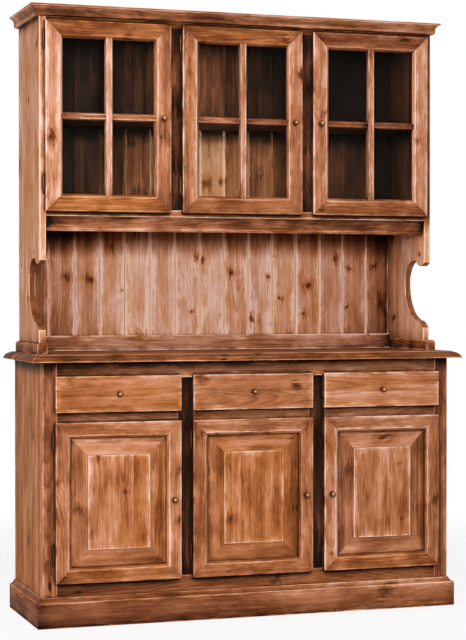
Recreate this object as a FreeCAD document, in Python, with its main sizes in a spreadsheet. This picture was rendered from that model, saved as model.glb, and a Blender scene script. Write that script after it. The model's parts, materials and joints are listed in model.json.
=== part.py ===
import FreeCAD, Part
import math
import os
import re

import Sketcher

# A pine display cabinet: a base with drawers and panelled doors, and a glazed hutch over it.
# X runs to the right, Y to the back, Z up. The origin is on the floor, at the middle of the
# width and of the whole depth, knobs included. Lengths are millimetres, angles degrees.

doc = FreeCAD.newDocument("DisplayCabinet")

# Driving sizes
SIZES = {
    # base
    "BaseWidth": (1482, "width of the base over its sides"),
    "BaseDepth": (446, "depth of the base from face frame to back"),
    "BaseHeight": (889, "floor to the underside of the worktop"),
    "SideBoard": (20, "thickness of the base sides"),
    "FrameThick": (22, "thickness of the face frame"),
    "PlinthHeight": (101, "floor to the top of the plinth"),
    "PlinthThick": (20, "thickness of the plinth boards"),
    "PlinthCove": (16, "height of the cove on the plinth's top edge"),
    "PlinthLedge": (4, "flat top of the plinth behind its cove"),
    "CoveShare": (0.85, "radius of a cove, as a share of its chord"),
    "OvoloShare": (0.88, "radius of a rounded moulding, as a share of its chord"),
    "BottomRailFoot": (40, "floor to the lower edge of the bottom rail"),
    "SideReveal": (41, "face frame seen beside the outer fronts"),
    "FrontGap": (43, "face frame seen between two fronts"),
    "TopReveal": (48, "face frame seen above the drawers"),
    "MiddleReveal": (34, "face frame seen between drawers and doors"),
    "BottomReveal": (46, "face frame seen between doors and plinth"),
    "DrawerFrontHeight": (121, "height of a drawer front"),
    "Overlap": (8, "how far a front laps over its opening"),
    "FrontStand": (20, "how far a front's face stands before the frame"),
    "FrontClear": (0.4, "air between a front and the frame behind it"),
    "InnerBoard": (18, "thickness of bottom, shelves and dividers"),
    "BackPanel": (8, "thickness of the base back panel"),
    "ShelfRise": (245, "base bottom to its shelf"),
    "ShelfSetback": (30, "base shelf behind the face frame"),
    "ShelfClear": (0.5, "air at a shelf's ends"),
    "PinRadius": (2.5, "radius of a shelf pin"),
    "PinReach": (9, "length of a shelf pin that stands out"),
    "PinInset": (45, "shelf edge to pin"),
    # drawers
    "BoxClear": (2, "air beside a drawer box in its opening"),
    "BoxHeight": (94, "height of a drawer box"),
    "BoxDepth": (390, "depth of a drawer box"),
    "BoxBoard": (12, "thickness of the drawer sides"),
    "BoxBottom": (6, "thickness of a drawer bottom"),
    "BoxBottomRise": (9, "lower edge of the sides to the drawer bottom"),
    "RunClear": (0.3, "running air under a drawer"),
    "RunnerHeight": (20, "height of a drawer runner"),
    "RunnerBearing": (14, "runner width under a drawer side"),
    "GuideHeight": (22, "height of the guide strip on a runner"),
    "GuideClear": (1, "air between a drawer side and its guide"),
    # worktop
    "WorktopEnds": (42, "worktop beyond each side of the base"),
    "WorktopOverhang": (38, "worktop before the face frame"),
    "WorktopThick": (24, "thickness of the worktop"),
    "WorktopMould": (26, "width of the worktop's rounded edge"),
    "WorktopRound": (18, "height of the worktop's rounded edge"),
    "WorktopStep": (3, "small step above the rounded edge"),
    # panelled doors and glazed doors
    "PanelMember": (53, "width of the panelled doors' frame"),
    "GlassMember": (59, "width of the glazed doors' frame"),
    "MemberRound": (3, "rounding of the outer front edge of a frame"),
    "MouldWidth": (9, "width of the moulding inside a frame"),
    "MouldStep": (1.5, "small step outside that moulding"),
    "MouldDrop": (6, "depth of that moulding"),
    "GrooveLip": (3, "wood between moulding and panel groove"),
    "GrooveDepth": (9, "depth of the panel groove"),
    "GrooveAir": (0.1, "air on each side of panel edge or glass"),
    "PanelEdge": (5, "thickness of the raised panel's edge"),
    "PanelBevel": (58, "width of the raised panel's bevel"),
    "FieldSink": (1, "raised field behind the door's face"),
    "FieldStep": (2, "small step around the raised field"),
    "GlassThick": (3, "thickness of the glass"),
    "RebateWidth": (8, "width of the rebate for the glass"),
    "RebateLip": (2, "wood between moulding and glass"),
    "BarWidth": (30, "width of the upright glazing bar at the glass"),
    "CrossBarWidth": (25, "width of the level glazing bar at the glass"),
    "BarSlope": (4, "slope on each side of a glazing bar"),
    "BarSink": (2, "glazing bars behind the door's face"),
    # hutch
    "TotalHeight": (2100, "floor to the top of the cornice"),
    "HutchInset": (15.5, "hutch side within the side of the base"),
    "HutchSetback": (111, "hutch front behind the base's face frame"),
    "HutchLowerSetback": (11, "front edge below the scroll, behind the hutch front"),
    "HutchSide": (23, "thickness of the hutch sides"),
    "HutchReveal": (18.5, "side's edge seen beside the outer glazed doors"),
    "HutchGap": (42, "post seen between two glazed doors"),
    "HutchFrame": (22, "depth of the hutch's posts and rails"),
    "GlassStand": (18, "how far a glazed door's face stands before the hutch"),
    "FootHeight": (37, "height of the feet under the hutch sides"),
    "FootProud": (12.5, "foot outside the hutch side"),
    "FootAhead": (19, "foot before the hutch front"),
    "FootRound": (10, "rounding of the foot's top edges"),
    "GlassDoorDrop": (13, "cornice to the glazed doors' upper edge"),
    "GlassDoorHeight": (648, "height of the glazed doors"),
    "HutchFloor": (24, "thickness of the hutch's lower board"),
    "HutchTop": (18, "thickness of the hutch's top board"),
    "ApronHeight": (50, "height of the apron under the hutch floor"),
    "ApronThick": (18, "thickness of the apron"),
    "ApronBead": (8, "height of the apron's lower bead"),
    "BeadShare": (0.52, "radius of that bead, as a share of its chord"),
    "BackBoard": (12, "thickness of the back boards"),
    "BackGroove": (3, "bevel on the long edges of a back board"),
    "EdgeBoard": (82, "width of the narrow board at the left"),
    "BackRailHeight": (55, "height of the rail along the niche's back"),
    "BackRailThick": (10, "thickness of that rail"),
    "BackRailRound": (6, "rounding of that rail's top edge"),
    "GlassShelfRise": (310, "hutch floor to its shelf"),
    "GlassShelfSetback": (34, "hutch shelf behind the hutch front"),
    # scrolled cut-out of the hutch sides
    "LobeRise": (282, "foot to the lower end of the upper front edge"),
    "LobeReach": (75, "upper front edge to the cusp"),
    "LobeShare": (0.69, "radius of the lobe, as a share of its chord"),
    "CuspRise": (288, "foot to the cusp"),
    "ScrollDeep": (171, "upper front edge to the scroll's deepest point"),
    "ScrollMiddle": (198, "foot to the deepest point"),
    "ScrollTopShare": (0.608, "radius of the scroll's upper arc, as a share of its chord"),
    "ScrollLowShare": (0.779, "radius of the scroll's lower arc, as a share of its chord"),
    "HeelReach": (62, "upper front edge to the start of the heel"),
    "HeelRise": (70, "foot to the start of the heel"),
    "HeelShare": (1.2, "radius of the heel, as a share of its chord"),
    "HeelDrop": (26, "height of the heel"),
    # cornice
    "CorniceOut": (32, "how far the cornice stands out"),
    "CorniceHeight": (40, "height of the cornice"),
    "CorniceFillet": (7, "height of the cornice's top edge"),
    "CorniceNeck": (17, "cornice at the foot of its cove"),
    "CorniceNeckRise": (18, "lower edge to the foot of the cove"),
    "CorniceBead": (8, "radius of the bead along its lower edge"),
    "CorniceAhead": (21, "how far the cornice stands before the hutch front"),
    # knobs and hinges
    "KnobReach": (26, "how far a knob stands out"),
    "KnobBall": (9, "radius of a knob's ball"),
    "KnobNeck": (4, "radius of a knob's neck"),
    "KnobPlate": (8.5, "radius of a knob's plate"),
    "KnobPlateThick": (2.5, "thickness of a knob's plate"),
    "GlassKnobInset": (28, "knob from the free edge of a glazed door"),
    "HingeRadius": (4.2, "radius of a hinge barrel"),
    "HingePinRadius": (2, "radius of a hinge pin"),
    "HingePinAir": (0.1, "running air round a hinge pin"),
    "HingeAir": (0.3, "air between the halves of a hinge"),
    "HingeBarrel": (25, "length of half a hinge barrel"),
    "HingeTip": (8, "length of the tip on a barrel"),
    "HingeTipNeck": (2, "radius of the neck under that tip"),
    "HingeTipBall": (2.8, "radius of the ball on that tip"),
    "HingeArm": (2.6, "radius of the arm that holds half a hinge"),
    "HingeBeside": (5, "hinge line beside the door's edge"),
    "HingeBefore": (5, "hinge line before the frame"),
    "HingeTopInset": (64, "door's top edge to the upper hinge's middle"),
    "HingeBottomInset": (94, "door's lower edge to the lower hinge's middle"),
    # helper for cuts
    "Overrun": (5, "how far a cutting shape runs past the wood"),
}

sheet = doc.addObject("Spreadsheet::Sheet", "Sizes")
for row, (alias, (size, note)) in enumerate(SIZES.items(), start=1):
    sheet.set(f"A{row}", note)
    sheet.set(f"B{row}", str(size))
    sheet.setAlias(f"B{row}", alias)
doc.recompute()

ALIAS = re.compile(r"\b(" + "|".join(sorted(SIZES, key=len, reverse=True)) + r")\b")


def linked(text):
    """The expression with each size's name led back to the sheet."""
    return ALIAS.sub(r"Sizes.\1", text)


def value(text):
    """The number that an expression gives now."""
    return float(sheet.evalExpression(linked(text)))


# Places worked out from the driving sizes, as expressions
SIDES = ("left", "middle", "right")
BACK = "((BaseDepth + FrontStand + KnobReach)/2)"
FRAME_FRONT = f"({BACK} - BaseDepth)"
FRAME_BACK = f"({FRAME_FRONT} + FrameThick)"
FRONT_FACE = f"({FRAME_FRONT} - FrontStand)"
FRONT_THICK = "(FrontStand - FrontClear)"
FRONT_WIDTH = "((BaseWidth - 2*SideReveal - 2*FrontGap)/3)"
FRONT_PITCH = f"({FRONT_WIDTH} + FrontGap)"
DRAWER_TOP = "(BaseHeight - TopReveal)"
DRAWER_BOTTOM = f"({DRAWER_TOP} - DrawerFrontHeight)"
DOOR_TOP = f"({DRAWER_BOTTOM} - MiddleReveal)"
DOOR_BOTTOM = "(PlinthHeight + BottomReveal)"
DOOR_HEIGHT = f"({DOOR_TOP} - {DOOR_BOTTOM})"
FLOOR_TOP = f"({DOOR_BOTTOM} + Overlap)"
STILE_INNER = "(BaseWidth/2 - SideReveal - Overlap)"
MULLION = "(FrontGap + 2*Overlap)"
INNER_BACK = f"({BACK} - BackPanel)"
WORKTOP_TOP = "(BaseHeight + WorktopThick)"
BAY = {"left": f"-1*{FRONT_PITCH}", "middle": "0", "right": FRONT_PITCH}

HUTCH_WIDTH = "(BaseWidth - 2*HutchInset)"
HUTCH_FRONT = f"({FRAME_FRONT} + HutchSetback)"
HUTCH_FRAME_BACK = f"({HUTCH_FRONT} + HutchFrame)"
HUTCH_INNER = f"({HUTCH_WIDTH}/2 - HutchSide)"
GLASS_FACE = f"({HUTCH_FRONT} - GlassStand)"
GLASS_DOOR_THICK = "(GlassStand - FrontClear)"
GLASS_DOOR_WIDTH = f"(({HUTCH_WIDTH} - 2*HutchReveal - 2*HutchGap)/3)"
GLASS_PITCH = f"({GLASS_DOOR_WIDTH} + HutchGap)"
GLASS_BAY = {"left": f"-1*{GLASS_PITCH}", "middle": "0", "right": GLASS_PITCH}
BOARD_FRONT = f"({BACK} - BackBoard)"
FOOT_TOP = f"({WORKTOP_TOP} + FootHeight)"
CORNICE_BOTTOM = "(TotalHeight - CorniceHeight)"
GLASS_DOOR_TOP = f"({CORNICE_BOTTOM} - GlassDoorDrop)"
GLASS_DOOR_BOTTOM = f"({GLASS_DOOR_TOP} - GlassDoorHeight)"
HUTCH_FLOOR_TOP = f"({GLASS_DOOR_BOTTOM} + Overlap)"
HUTCH_FLOOR_BOTTOM = f"({HUTCH_FLOOR_TOP} - HutchFloor)"
CORNICE_BACK = f"({HUTCH_FRONT} - CorniceAhead + CorniceOut)"
GLASS_SHELF_Y = (f"({HUTCH_FRONT} + GlassShelfSetback)", f"({BOARD_FRONT} - ShelfClear)")
GLASS_SHELF_BOTTOM = f"({HUTCH_FLOOR_TOP} + GlassShelfRise)"
GLASS_SHELF_Z = (GLASS_SHELF_BOTTOM, f"({GLASS_SHELF_BOTTOM} + InnerBoard)")
QUARTER = "sqrt(1/2)"
ALONG_X = FreeCAD.Vector(1, 0, 0)
AGAINST_X = FreeCAD.Vector(-1, 0, 0)
ALONG_Y = FreeCAD.Vector(0, 1, 0)


# Building helpers

def bind(piece, **places):
    """Bind a piece's numbers to expressions."""
    for name, text in places.items():
        piece.setExpression(name, linked(text))
    return piece


def place(piece, x="0", y="0", z="0"):
    """Bind where a piece stands."""
    for axis, text in (("x", x), ("y", y), ("z", z)):
        if text != "0":
            piece.setExpression(f"Placement.Base.{axis}", linked(text))
    return piece


def board(name, x, y, z):
    """A plain board between pairs of planes."""
    piece = doc.addObject("Part::Box", name)
    bind(piece, Length=f"{x[1]} - ({x[0]})", Width=f"{y[1]} - ({y[0]})", Height=f"{z[1]} - ({z[0]})")
    return place(piece, x[0], y[0], z[0])


def copy_at(name, source, x="0", y="0", z="0"):
    """One more of the same piece, standing somewhere else."""
    piece = doc.addObject("Part::Compound", name)
    piece.Links = [source]
    return place(piece, x, y, z)


def mirrored(name, source, height=None):
    """The same piece for the other hand, or for the other end of a given height."""
    piece = doc.addObject("Part::Mirroring", name)
    piece.Source = source
    piece.Normal = FreeCAD.Vector(0, 0, 1) if height else FreeCAD.Vector(1, 0, 0)
    if height:
        piece.setExpression("Base.z", linked(f"{height}/2"))
    return piece


NODES = []


def node(label, pieces, x="0", y="0", z="0"):
    """A sub-part of the cabinet: its pieces stay separate solids."""
    part = doc.addObject("Part::Compound", label)
    part.Links = pieces
    part.Label = label
    NODES.append(part)
    return place(part, x, y, z)


def origin_plane(body, role):
    return next(item for item in body.Origin.OriginFeatures if item.Role == role)


def arc_middle(start, end, radius, side):
    """Centre of a minor arc; side is 1 where it lies left of the way from start to end, or -1."""
    half = math.hypot(end[0] - start[0], end[1] - start[1]) / 2
    rise = math.sqrt(radius * radius - half * half) / half / 2
    across = (start[1] - end[1], end[0] - start[0])
    return ((start[0] + end[0]) / 2 + side * across[0] * rise,
            (start[1] + end[1]) / 2 + side * across[1] * rise)


def add_line(sketch, start, end):
    """Draw a straight edge; gives its number and which ends are its start and its end."""
    edge = Part.LineSegment(FreeCAD.Vector(*start, 0), FreeCAD.Vector(*end, 0))
    return sketch.addGeometry(edge), (1, 2)


def add_arc(sketch, start, end, radius_text, side):
    """Draw an arc with a bound radius; gives its number and which ends are its start and its end."""
    radius = value(radius_text)
    middle = arc_middle(start, end, radius, side)
    first, last = (start, end) if side > 0 else (end, start)
    angles = [math.atan2(point[1] - middle[1], point[0] - middle[0]) for point in (first, last)]
    circle = Part.Circle(FreeCAD.Vector(*middle, 0), FreeCAD.Vector(0, 0, 1), radius)
    number = sketch.addGeometry(Part.ArcOfCircle(circle, *angles))
    bound = sketch.addConstraint(Sketcher.Constraint("Radius", number, radius))
    sketch.setExpression(f"Constraints[{bound}]", linked(radius_text))
    return number, ((1, 2) if side > 0 else (2, 1))


def draw(sketch, outline):
    """Draw a closed outline that runs anticlockwise.

    A corner is (x, y), or (x, y, (share, side)) where an arc leaves it, with its radius as a
    share of its chord and side 1 for an arc that bulges outwards or -1 for a hollow one.
    """
    corners = [(value(corner[0]), value(corner[1])) for corner in outline]
    edges = []
    for number, corner in enumerate(outline):
        after = (number + 1) % len(outline)
        if len(corner) > 2:
            (x, y, (share, side)), following = corner, outline[after]
            chord = f"sqrt(({following[0]} - ({x}))^2 + ({following[1]} - ({y}))^2)"
            edges.append(add_arc(sketch, corners[number], corners[after], f"({share})*{chord}", side))
        else:
            edges.append(add_line(sketch, corners[number], corners[after]))
    for number, (edge, ends) in enumerate(edges):
        after, after_ends = edges[(number + 1) % len(edges)]
        sketch.addConstraint(Sketcher.Constraint("Coincident", edge, ends[1], after, after_ends[0]))
        for kind, axis, text in zip(("DistanceX", "DistanceY"), (-2, -1), outline[number]):
            if text == "0":
                sketch.addConstraint(Sketcher.Constraint("PointOnObject", edge, ends[0], axis))
            else:
                distance = Sketcher.Constraint(kind, edge, ends[0], value(text))
                sketch.setExpression(f"Constraints[{sketch.addConstraint(distance)}]", linked(text))


def mitre(end, outer, width, along="1", inward="1"):
    """The triangle that cuts the end of a member to 45 degrees, as (along, across) pairs.

    end and outer are the places of its outer corner; along and inward are 1 or -1, for the ways
    that the member and its inner edge lie from that corner.
    """
    behind = f"{end} - {along}*Overrun"
    far = f"{end} + {along}*({width} + Overrun)"
    inner = f"{outer} + {inward}*({width} + Overrun)"
    return [(behind, f"{outer} - {inward}*Overrun"), (behind, inner), (far, inner)]


def swapped(triangle):
    return [(across, along) for along, across in triangle]


def sketch_on(body, role, outlines):
    """A sketch of closed outlines on one of the body's own planes."""
    sketch = body.newObject("Sketcher::SketchObject", body.Name + "_sketch")
    sketch.AttachmentSupport = [(origin_plane(body, role), "")]
    sketch.MapMode = "FlatFace"
    for outline in outlines:
        draw(sketch, outline)
    return sketch


def padded(name, role, outline, length, middle=False, backwards=False):
    """A body made by padding an outline, to one side of its plane or half to each."""
    body = doc.addObject("PartDesign::Body", name)
    sketch = sketch_on(body, role, [outline])
    pad = body.newObject("PartDesign::Pad", name + "_pad")
    pad.Profile = sketch
    pad.Midplane = middle
    pad.Reversed = backwards
    bind(pad, Length=length)
    return body


def cut_through(body, role, outlines):
    """Cut outlines right through a body, to both sides of their plane."""
    pocket = body.newObject("PartDesign::Pocket", body.Name + "_pocket")
    pocket.Profile = sketch_on(body, role, outlines)
    pocket.Type = "ThroughAll"
    pocket.Midplane = True
    body.Tip = pocket


def turned(name, outline, role="XZ_Plane"):
    """A body made by turning an outline about the upright axis of its sketch."""
    body = doc.addObject("PartDesign::Body", name)
    sketch = sketch_on(body, role, [outline])
    turn = body.newObject("PartDesign::Revolution", name + "_turn")
    turn.Profile = sketch
    turn.ReferenceAxis = (sketch, ["V_Axis"])
    turn.Angle = 360
    return body


def rod(name, radius, length, x, y, z, axis):
    """A round rod that starts at a point and runs along an axis."""
    piece = doc.addObject("Part::Cylinder", name)
    bind(piece, Radius=radius, Height=length)
    piece.Placement.Rotation = FreeCAD.Rotation(FreeCAD.Vector(0, 0, 1), axis)
    return place(piece, x, y, z)


def fuse(name, pieces):
    piece = doc.addObject("Part::MultiFuse", name)
    piece.Shapes = pieces
    return piece


def cut(name, base, tool):
    piece = doc.addObject("Part::Cut", name)
    piece.Base = base
    piece.Tool = tool
    return piece


def rounded_edges(body, radius, wanted):
    """Round the edges of a body's last shape that pass the test."""
    doc.recompute()
    shape = body.Shape
    names = []
    for number, edge in enumerate(shape.Edges, start=1):
        if wanted(edge.BoundBox, shape.BoundBox):
            names.append(f"Edge{number}")
    last = body.Tip
    fillet = body.newObject("PartDesign::Fillet", body.Name + "_round")
    fillet.Base = (last, names)
    bind(fillet, Radius=radius)
    body.Tip = fillet


# Base

def base_sides():
    x = ("-1*BaseWidth/2", "-1*BaseWidth/2 + SideBoard")
    left = board("base_side_left", x, (FRAME_BACK, BACK), ("0", "BaseHeight"))
    return node("base_sides", [left, mirrored("base_side_right", left)])


def face_frame():
    y = (FRAME_FRONT, FRAME_BACK)
    outer = board("outer_stile", ("-1*BaseWidth/2", f"-1*{STILE_INNER}"), y, ("0", "BaseHeight"))
    top = ("BaseHeight - TopReveal - Overlap", "BaseHeight")
    bottom = ("BottomRailFoot", FLOOR_TOP)
    between = (bottom[1], top[0])
    x = (f"-1*{FRONT_PITCH}/2 - {MULLION}/2", f"-1*{FRONT_PITCH}/2 + {MULLION}/2")
    inner = board("inner_stile", x, y, between)
    stiles = [outer, mirrored("outer_stile_right", outer), inner, mirrored("inner_stile_right", inner)]
    node("face_frame_stiles", stiles)
    across = (f"-1*{STILE_INNER}", STILE_INNER)
    middle = (f"{DOOR_TOP} - Overlap", f"{DRAWER_BOTTOM} + Overlap")
    rails = [board("top_rail", across, y, top), board("bottom_rail", across, y, bottom)]
    side_rail = board("middle_rail_left", (across[0], x[0]), y, middle)
    rails += [side_rail, mirrored("middle_rail_right", side_rail)]
    rails.append(board("middle_rail", (x[1], f"-1*({x[1]})"), y, middle))
    node("face_frame_rails", rails)


def base_inside():
    inner = "(BaseWidth/2 - SideBoard)"
    y = (FRAME_BACK, INNER_BACK)
    floor = (f"{FLOOR_TOP} - InnerBoard", FLOOR_TOP)
    node("base_bottom", [board("base_bottom_board", (f"-1*{inner}", inner), y, floor)])
    x = (f"-1*{FRONT_PITCH}/2 - InnerBoard/2", f"-1*{FRONT_PITCH}/2 + InnerBoard/2")
    divider = board("divider_left", x, y, (FLOOR_TOP, "BaseHeight"))
    node("base_dividers", [divider, mirrored("divider_right", divider)])
    back = board("back_panel", (f"-1*{inner}", inner), (INNER_BACK, BACK), ("BottomRailFoot", "BaseHeight"))
    node("base_back", [back])
    shelf_z = (f"{FLOOR_TOP} + ShelfRise", f"{FLOOR_TOP} + ShelfRise + InnerBoard")
    shelf_y = (f"{FRAME_BACK} + ShelfSetback", f"{INNER_BACK} - ShelfClear")
    walls = {"left": (f"-1*{inner}", x[0]),
             "middle": (x[1], f"-1*({x[1]})"),
             "right": (f"-1*({x[0]})", inner)}
    shelves = []
    for side, (low, high) in walls.items():
        span = (f"{low} + ShelfClear", f"{high} - ShelfClear")
        shelves.append(board(f"shelf_{side}", span, shelf_y, shelf_z))
    node("base_shelves", shelves)
    return walls, shelf_y, shelf_z


def drawer_runners(walls):
    """Under each drawer side lies a bearing strip, with a guide strip beside it."""
    y = (FRAME_BACK, f"{FRAME_FRONT} + BoxDepth")
    box_half = f"({FRONT_WIDTH}/2 - Overlap - BoxClear)"
    top = f"({DRAWER_BOTTOM} + Overlap + BoxClear - RunClear)"
    pieces = []
    for side, (low, high) in walls.items():
        edges = (f"{BAY[side]} - {box_half}", f"{BAY[side]} + {box_half}")
        bearing = ((low, f"{edges[0]} + RunnerBearing"), (f"{edges[1]} - RunnerBearing", high))
        guide = ((low, f"{edges[0]} - GuideClear"), (f"{edges[1]} + GuideClear", high))
        for hand, strip, guard in zip(("a", "b"), bearing, guide):
            pieces.append(board(f"runner_{side}_{hand}", strip, y, (f"{top} - RunnerHeight", top)))
            pieces.append(board(f"guide_{side}_{hand}", guard, y, (top, f"{top} + GuideHeight")))
    node("drawer_runners", pieces)


def shelf_pins(walls, shelf_y, shelf_z):
    """Short pins in the walls, under the corners of each shelf."""
    pins = []
    ends = (f"{shelf_y[0]} + PinInset", f"{shelf_y[1]} - PinInset")
    for side, (low, high) in walls.items():
        for number, y in enumerate(ends):
            z = f"{shelf_z[0]} - PinRadius"
            pins.append(rod(f"pin_{side}_{number}_a", "PinRadius", "PinReach", low, y, z, ALONG_X))
            pins.append(rod(f"pin_{side}_{number}_b", "PinRadius", "PinReach", high, y, z, AGAINST_X))
    for number, y in enumerate((f"{GLASS_SHELF_Y[0]} + PinInset", f"{GLASS_SHELF_Y[1]} - PinInset")):
        z = f"{GLASS_SHELF_Z[0]} - PinRadius"
        for hand, x, way in (("a", f"-1*{HUTCH_INNER}", ALONG_X), ("b", HUTCH_INNER, AGAINST_X)):
            pins.append(rod(f"hutch_pin_{number}_{hand}", "PinRadius", "PinReach", x, y, z, way))
    node("shelf_pins", pins)


def plinth():
    """Three boards round the foot, mitred at the front corners, with a cove along the top."""
    rise = "(PlinthThick - PlinthLedge)"
    half = "(BaseWidth/2 + PlinthThick)"
    front_face = f"({FRAME_FRONT} - PlinthThick)"

    def section(outer):
        return [(outer, "0"), (f"{outer} + PlinthThick", "0"), (f"{outer} + PlinthThick", "PlinthHeight"),
                (f"{outer} + {rise}", "PlinthHeight", ("CoveShare", -1)),
                (outer, "PlinthHeight - PlinthCove")]

    front = padded("plinth_front", "YZ_Plane", section("0"), f"2*{half}", middle=True)
    cut_through(front, "XY_Plane", [mitre(f"-1*{half}", "0", "PlinthThick"),
                                    mitre(half, "0", "PlinthThick", along="-1")])
    place(front, y=front_face)
    left = padded("plinth_left", "XZ_Plane", section(f"-1*{half}"), f"{BACK} - {front_face}", backwards=True)
    cut_through(left, "XY_Plane", [swapped(mitre("0", f"-1*{half}", "PlinthThick"))])
    place(left, y=front_face)
    node("plinth", [front, left, mirrored("plinth_right", left)])


def worktop():
    """One board with the same rounded edge along its front and both ends."""
    deep = f"({BACK} - {FRAME_FRONT} + WorktopOverhang)"
    wide = "(BaseWidth/2 + WorktopEnds)"
    upper = "(WorktopThick - WorktopStep)"
    lower = f"({upper} - WorktopRound)"
    across = padded("worktop_across", "YZ_Plane", [
        ("0", "0"), (deep, "0"), (deep, "WorktopThick"), ("WorktopMould", "WorktopThick"),
        ("WorktopMould", upper, ("OvoloShare", 1)), ("0", lower)], f"2*{wide}", middle=True)
    along = padded("worktop_along", "XZ_Plane", [
        (f"-1*{wide}", "0"), (wide, "0"), (wide, lower, ("OvoloShare", 1)),
        (f"{wide} - WorktopMould", upper), (f"{wide} - WorktopMould", "WorktopThick"),
        (f"WorktopMould - {wide}", "WorktopThick"), (f"WorktopMould - {wide}", upper, ("OvoloShare", 1)),
        (f"-1*{wide}", lower)], deep, backwards=True)
    top = doc.addObject("Part::Common", "worktop_board")
    top.Base = across
    top.Tool = along
    place(top, y=f"{FRAME_FRONT} - WorktopOverhang", z="BaseHeight")
    node("worktop", [top])


# Drawers, one set of pieces used three times. Their own origin is at the middle of the front's
# lower edge, in its face.

def drawer_pieces():
    half = f"({FRONT_WIDTH}/2)"
    front = padded("drawer_front", "XZ_Plane", [
        (f"-1*{half}", "0"), (half, "0"), (half, "DrawerFrontHeight"), (f"-1*{half}", "DrawerFrontHeight")],
        FRONT_THICK, backwards=True)
    rounded_edges(front, "MemberRound", lambda box, whole: box.YMax - whole.YMin < whole.YLength / 2)
    side = f"({half} - Overlap - BoxClear)"
    inner = f"({side} - BoxBoard)"
    y = (FRONT_THICK, f"{FRONT_THICK} + BoxDepth")
    z = ("Overlap + BoxClear", "Overlap + BoxClear + BoxHeight")
    left = board("drawer_side", (f"-1*{side}", f"-1*{inner}"), y, z)
    ends = [board("drawer_inner_front", (f"-1*{inner}", inner), (y[0], f"{y[0]} + BoxBoard"), z),
            board("drawer_back", (f"-1*{inner}", inner), (f"{y[1]} - BoxBoard", y[1]), z)]
    floor = (f"{z[0]} + BoxBottomRise", f"{z[0]} + BoxBottomRise + BoxBottom")
    bottom = board("drawer_bottom", (f"-1*{inner}", inner),
                   (f"{y[0]} + BoxBoard", f"{y[1]} - BoxBoard"), floor)
    return front, [left, mirrored("drawer_side_right", left)] + ends + [bottom]


def knob():
    """A turned knob: a plate, a neck and a ball, along -Y from the face that it is fixed to."""
    to_neck = "(KnobBall + sqrt(KnobBall^2 - KnobNeck^2))"
    share = f"KnobBall/sqrt(KnobNeck^2 + {to_neck}^2)"
    return turned("knob", [
        ("0", "-1*KnobReach", (share, 1)), ("KnobNeck", f"{to_neck} - KnobReach"),
        ("KnobNeck", "-1*KnobPlateThick"), ("KnobPlate", "-1*KnobPlateThick"),
        ("KnobPlate", "0"), ("0", "0")], role="XY_Plane")


def drawers(knob_body):
    front, box = drawer_pieces()
    for side in SIDES:
        at = {"x": BAY[side], "y": FRONT_FACE, "z": DRAWER_BOTTOM}
        node(f"drawer_{side}_front", [front], **at)
        node(f"drawer_{side}_box", box, **at)
        node(f"drawer_{side}_knob", [knob_body], x=BAY[side], y=FRONT_FACE,
             z=f"{DRAWER_BOTTOM} + DrawerFrontHeight/2")


# Doors. Their own origin is at the middle of the lower edge, in the face.

def door_frame(name, wide, tall, member, inner_edge):
    """Four mitred members: two stiles and two rails with the same section."""
    half = f"({wide}/2)"
    edge = f"({member} - MouldWidth)"

    def section(outer):
        """Places across the member from its outer edge, with depths from its face."""
        start = [("0", "MemberRound", (QUARTER, 1)), ("MemberRound", "0"), (edge, "0"),
                 (edge, "MouldStep", ("OvoloShare", 1)), (member, "MouldStep + MouldDrop")]
        return [(f"{outer} + {corner[0]}", *corner[1:]) for corner in start + inner_edge]

    stile = padded(f"{name}_stile", "XY_Plane", section(f"-1*{half}"), tall)
    cut_through(stile, "XZ_Plane", [swapped(mitre("0", f"-1*{half}", member)),
                                    swapped(mitre(tall, f"-1*{half}", member, along="-1"))])
    depth_first = [(corner[1], corner[0], *[(share, side) for share, side in corner[2:]])
                   for corner in section("0")]
    rail = padded(f"{name}_rail", "YZ_Plane", reversed_outline(depth_first), wide, middle=True)
    cut_through(rail, "XZ_Plane", [mitre(f"-1*{half}", "0", member), mitre(half, "0", member, along="-1")])
    return [stile, mirrored(f"{name}_stile_right", stile),
            rail, mirrored(f"{name}_rail_top", rail, height=tall)]


def reversed_outline(outline):
    """The same outline run the other way, so that one seen from behind runs anticlockwise."""
    corners = [corner[:2] for corner in outline]
    arcs = [corner[2] if len(corner) > 2 else None for corner in outline]
    turned_round = []
    for number in range(len(outline) - 1, -1, -1):
        arc = arcs[number - 1]
        turned_round.append(corners[number] + ((arc,) if arc else ()))
    return turned_round


PANEL_GROOVE = "(MouldStep + MouldDrop + GrooveLip)"
PANEL_GROOVE_BACK = f"({PANEL_GROOVE} + PanelEdge + 2*GrooveAir)"
REBATE = "(MouldStep + MouldDrop + RebateLip)"


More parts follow.
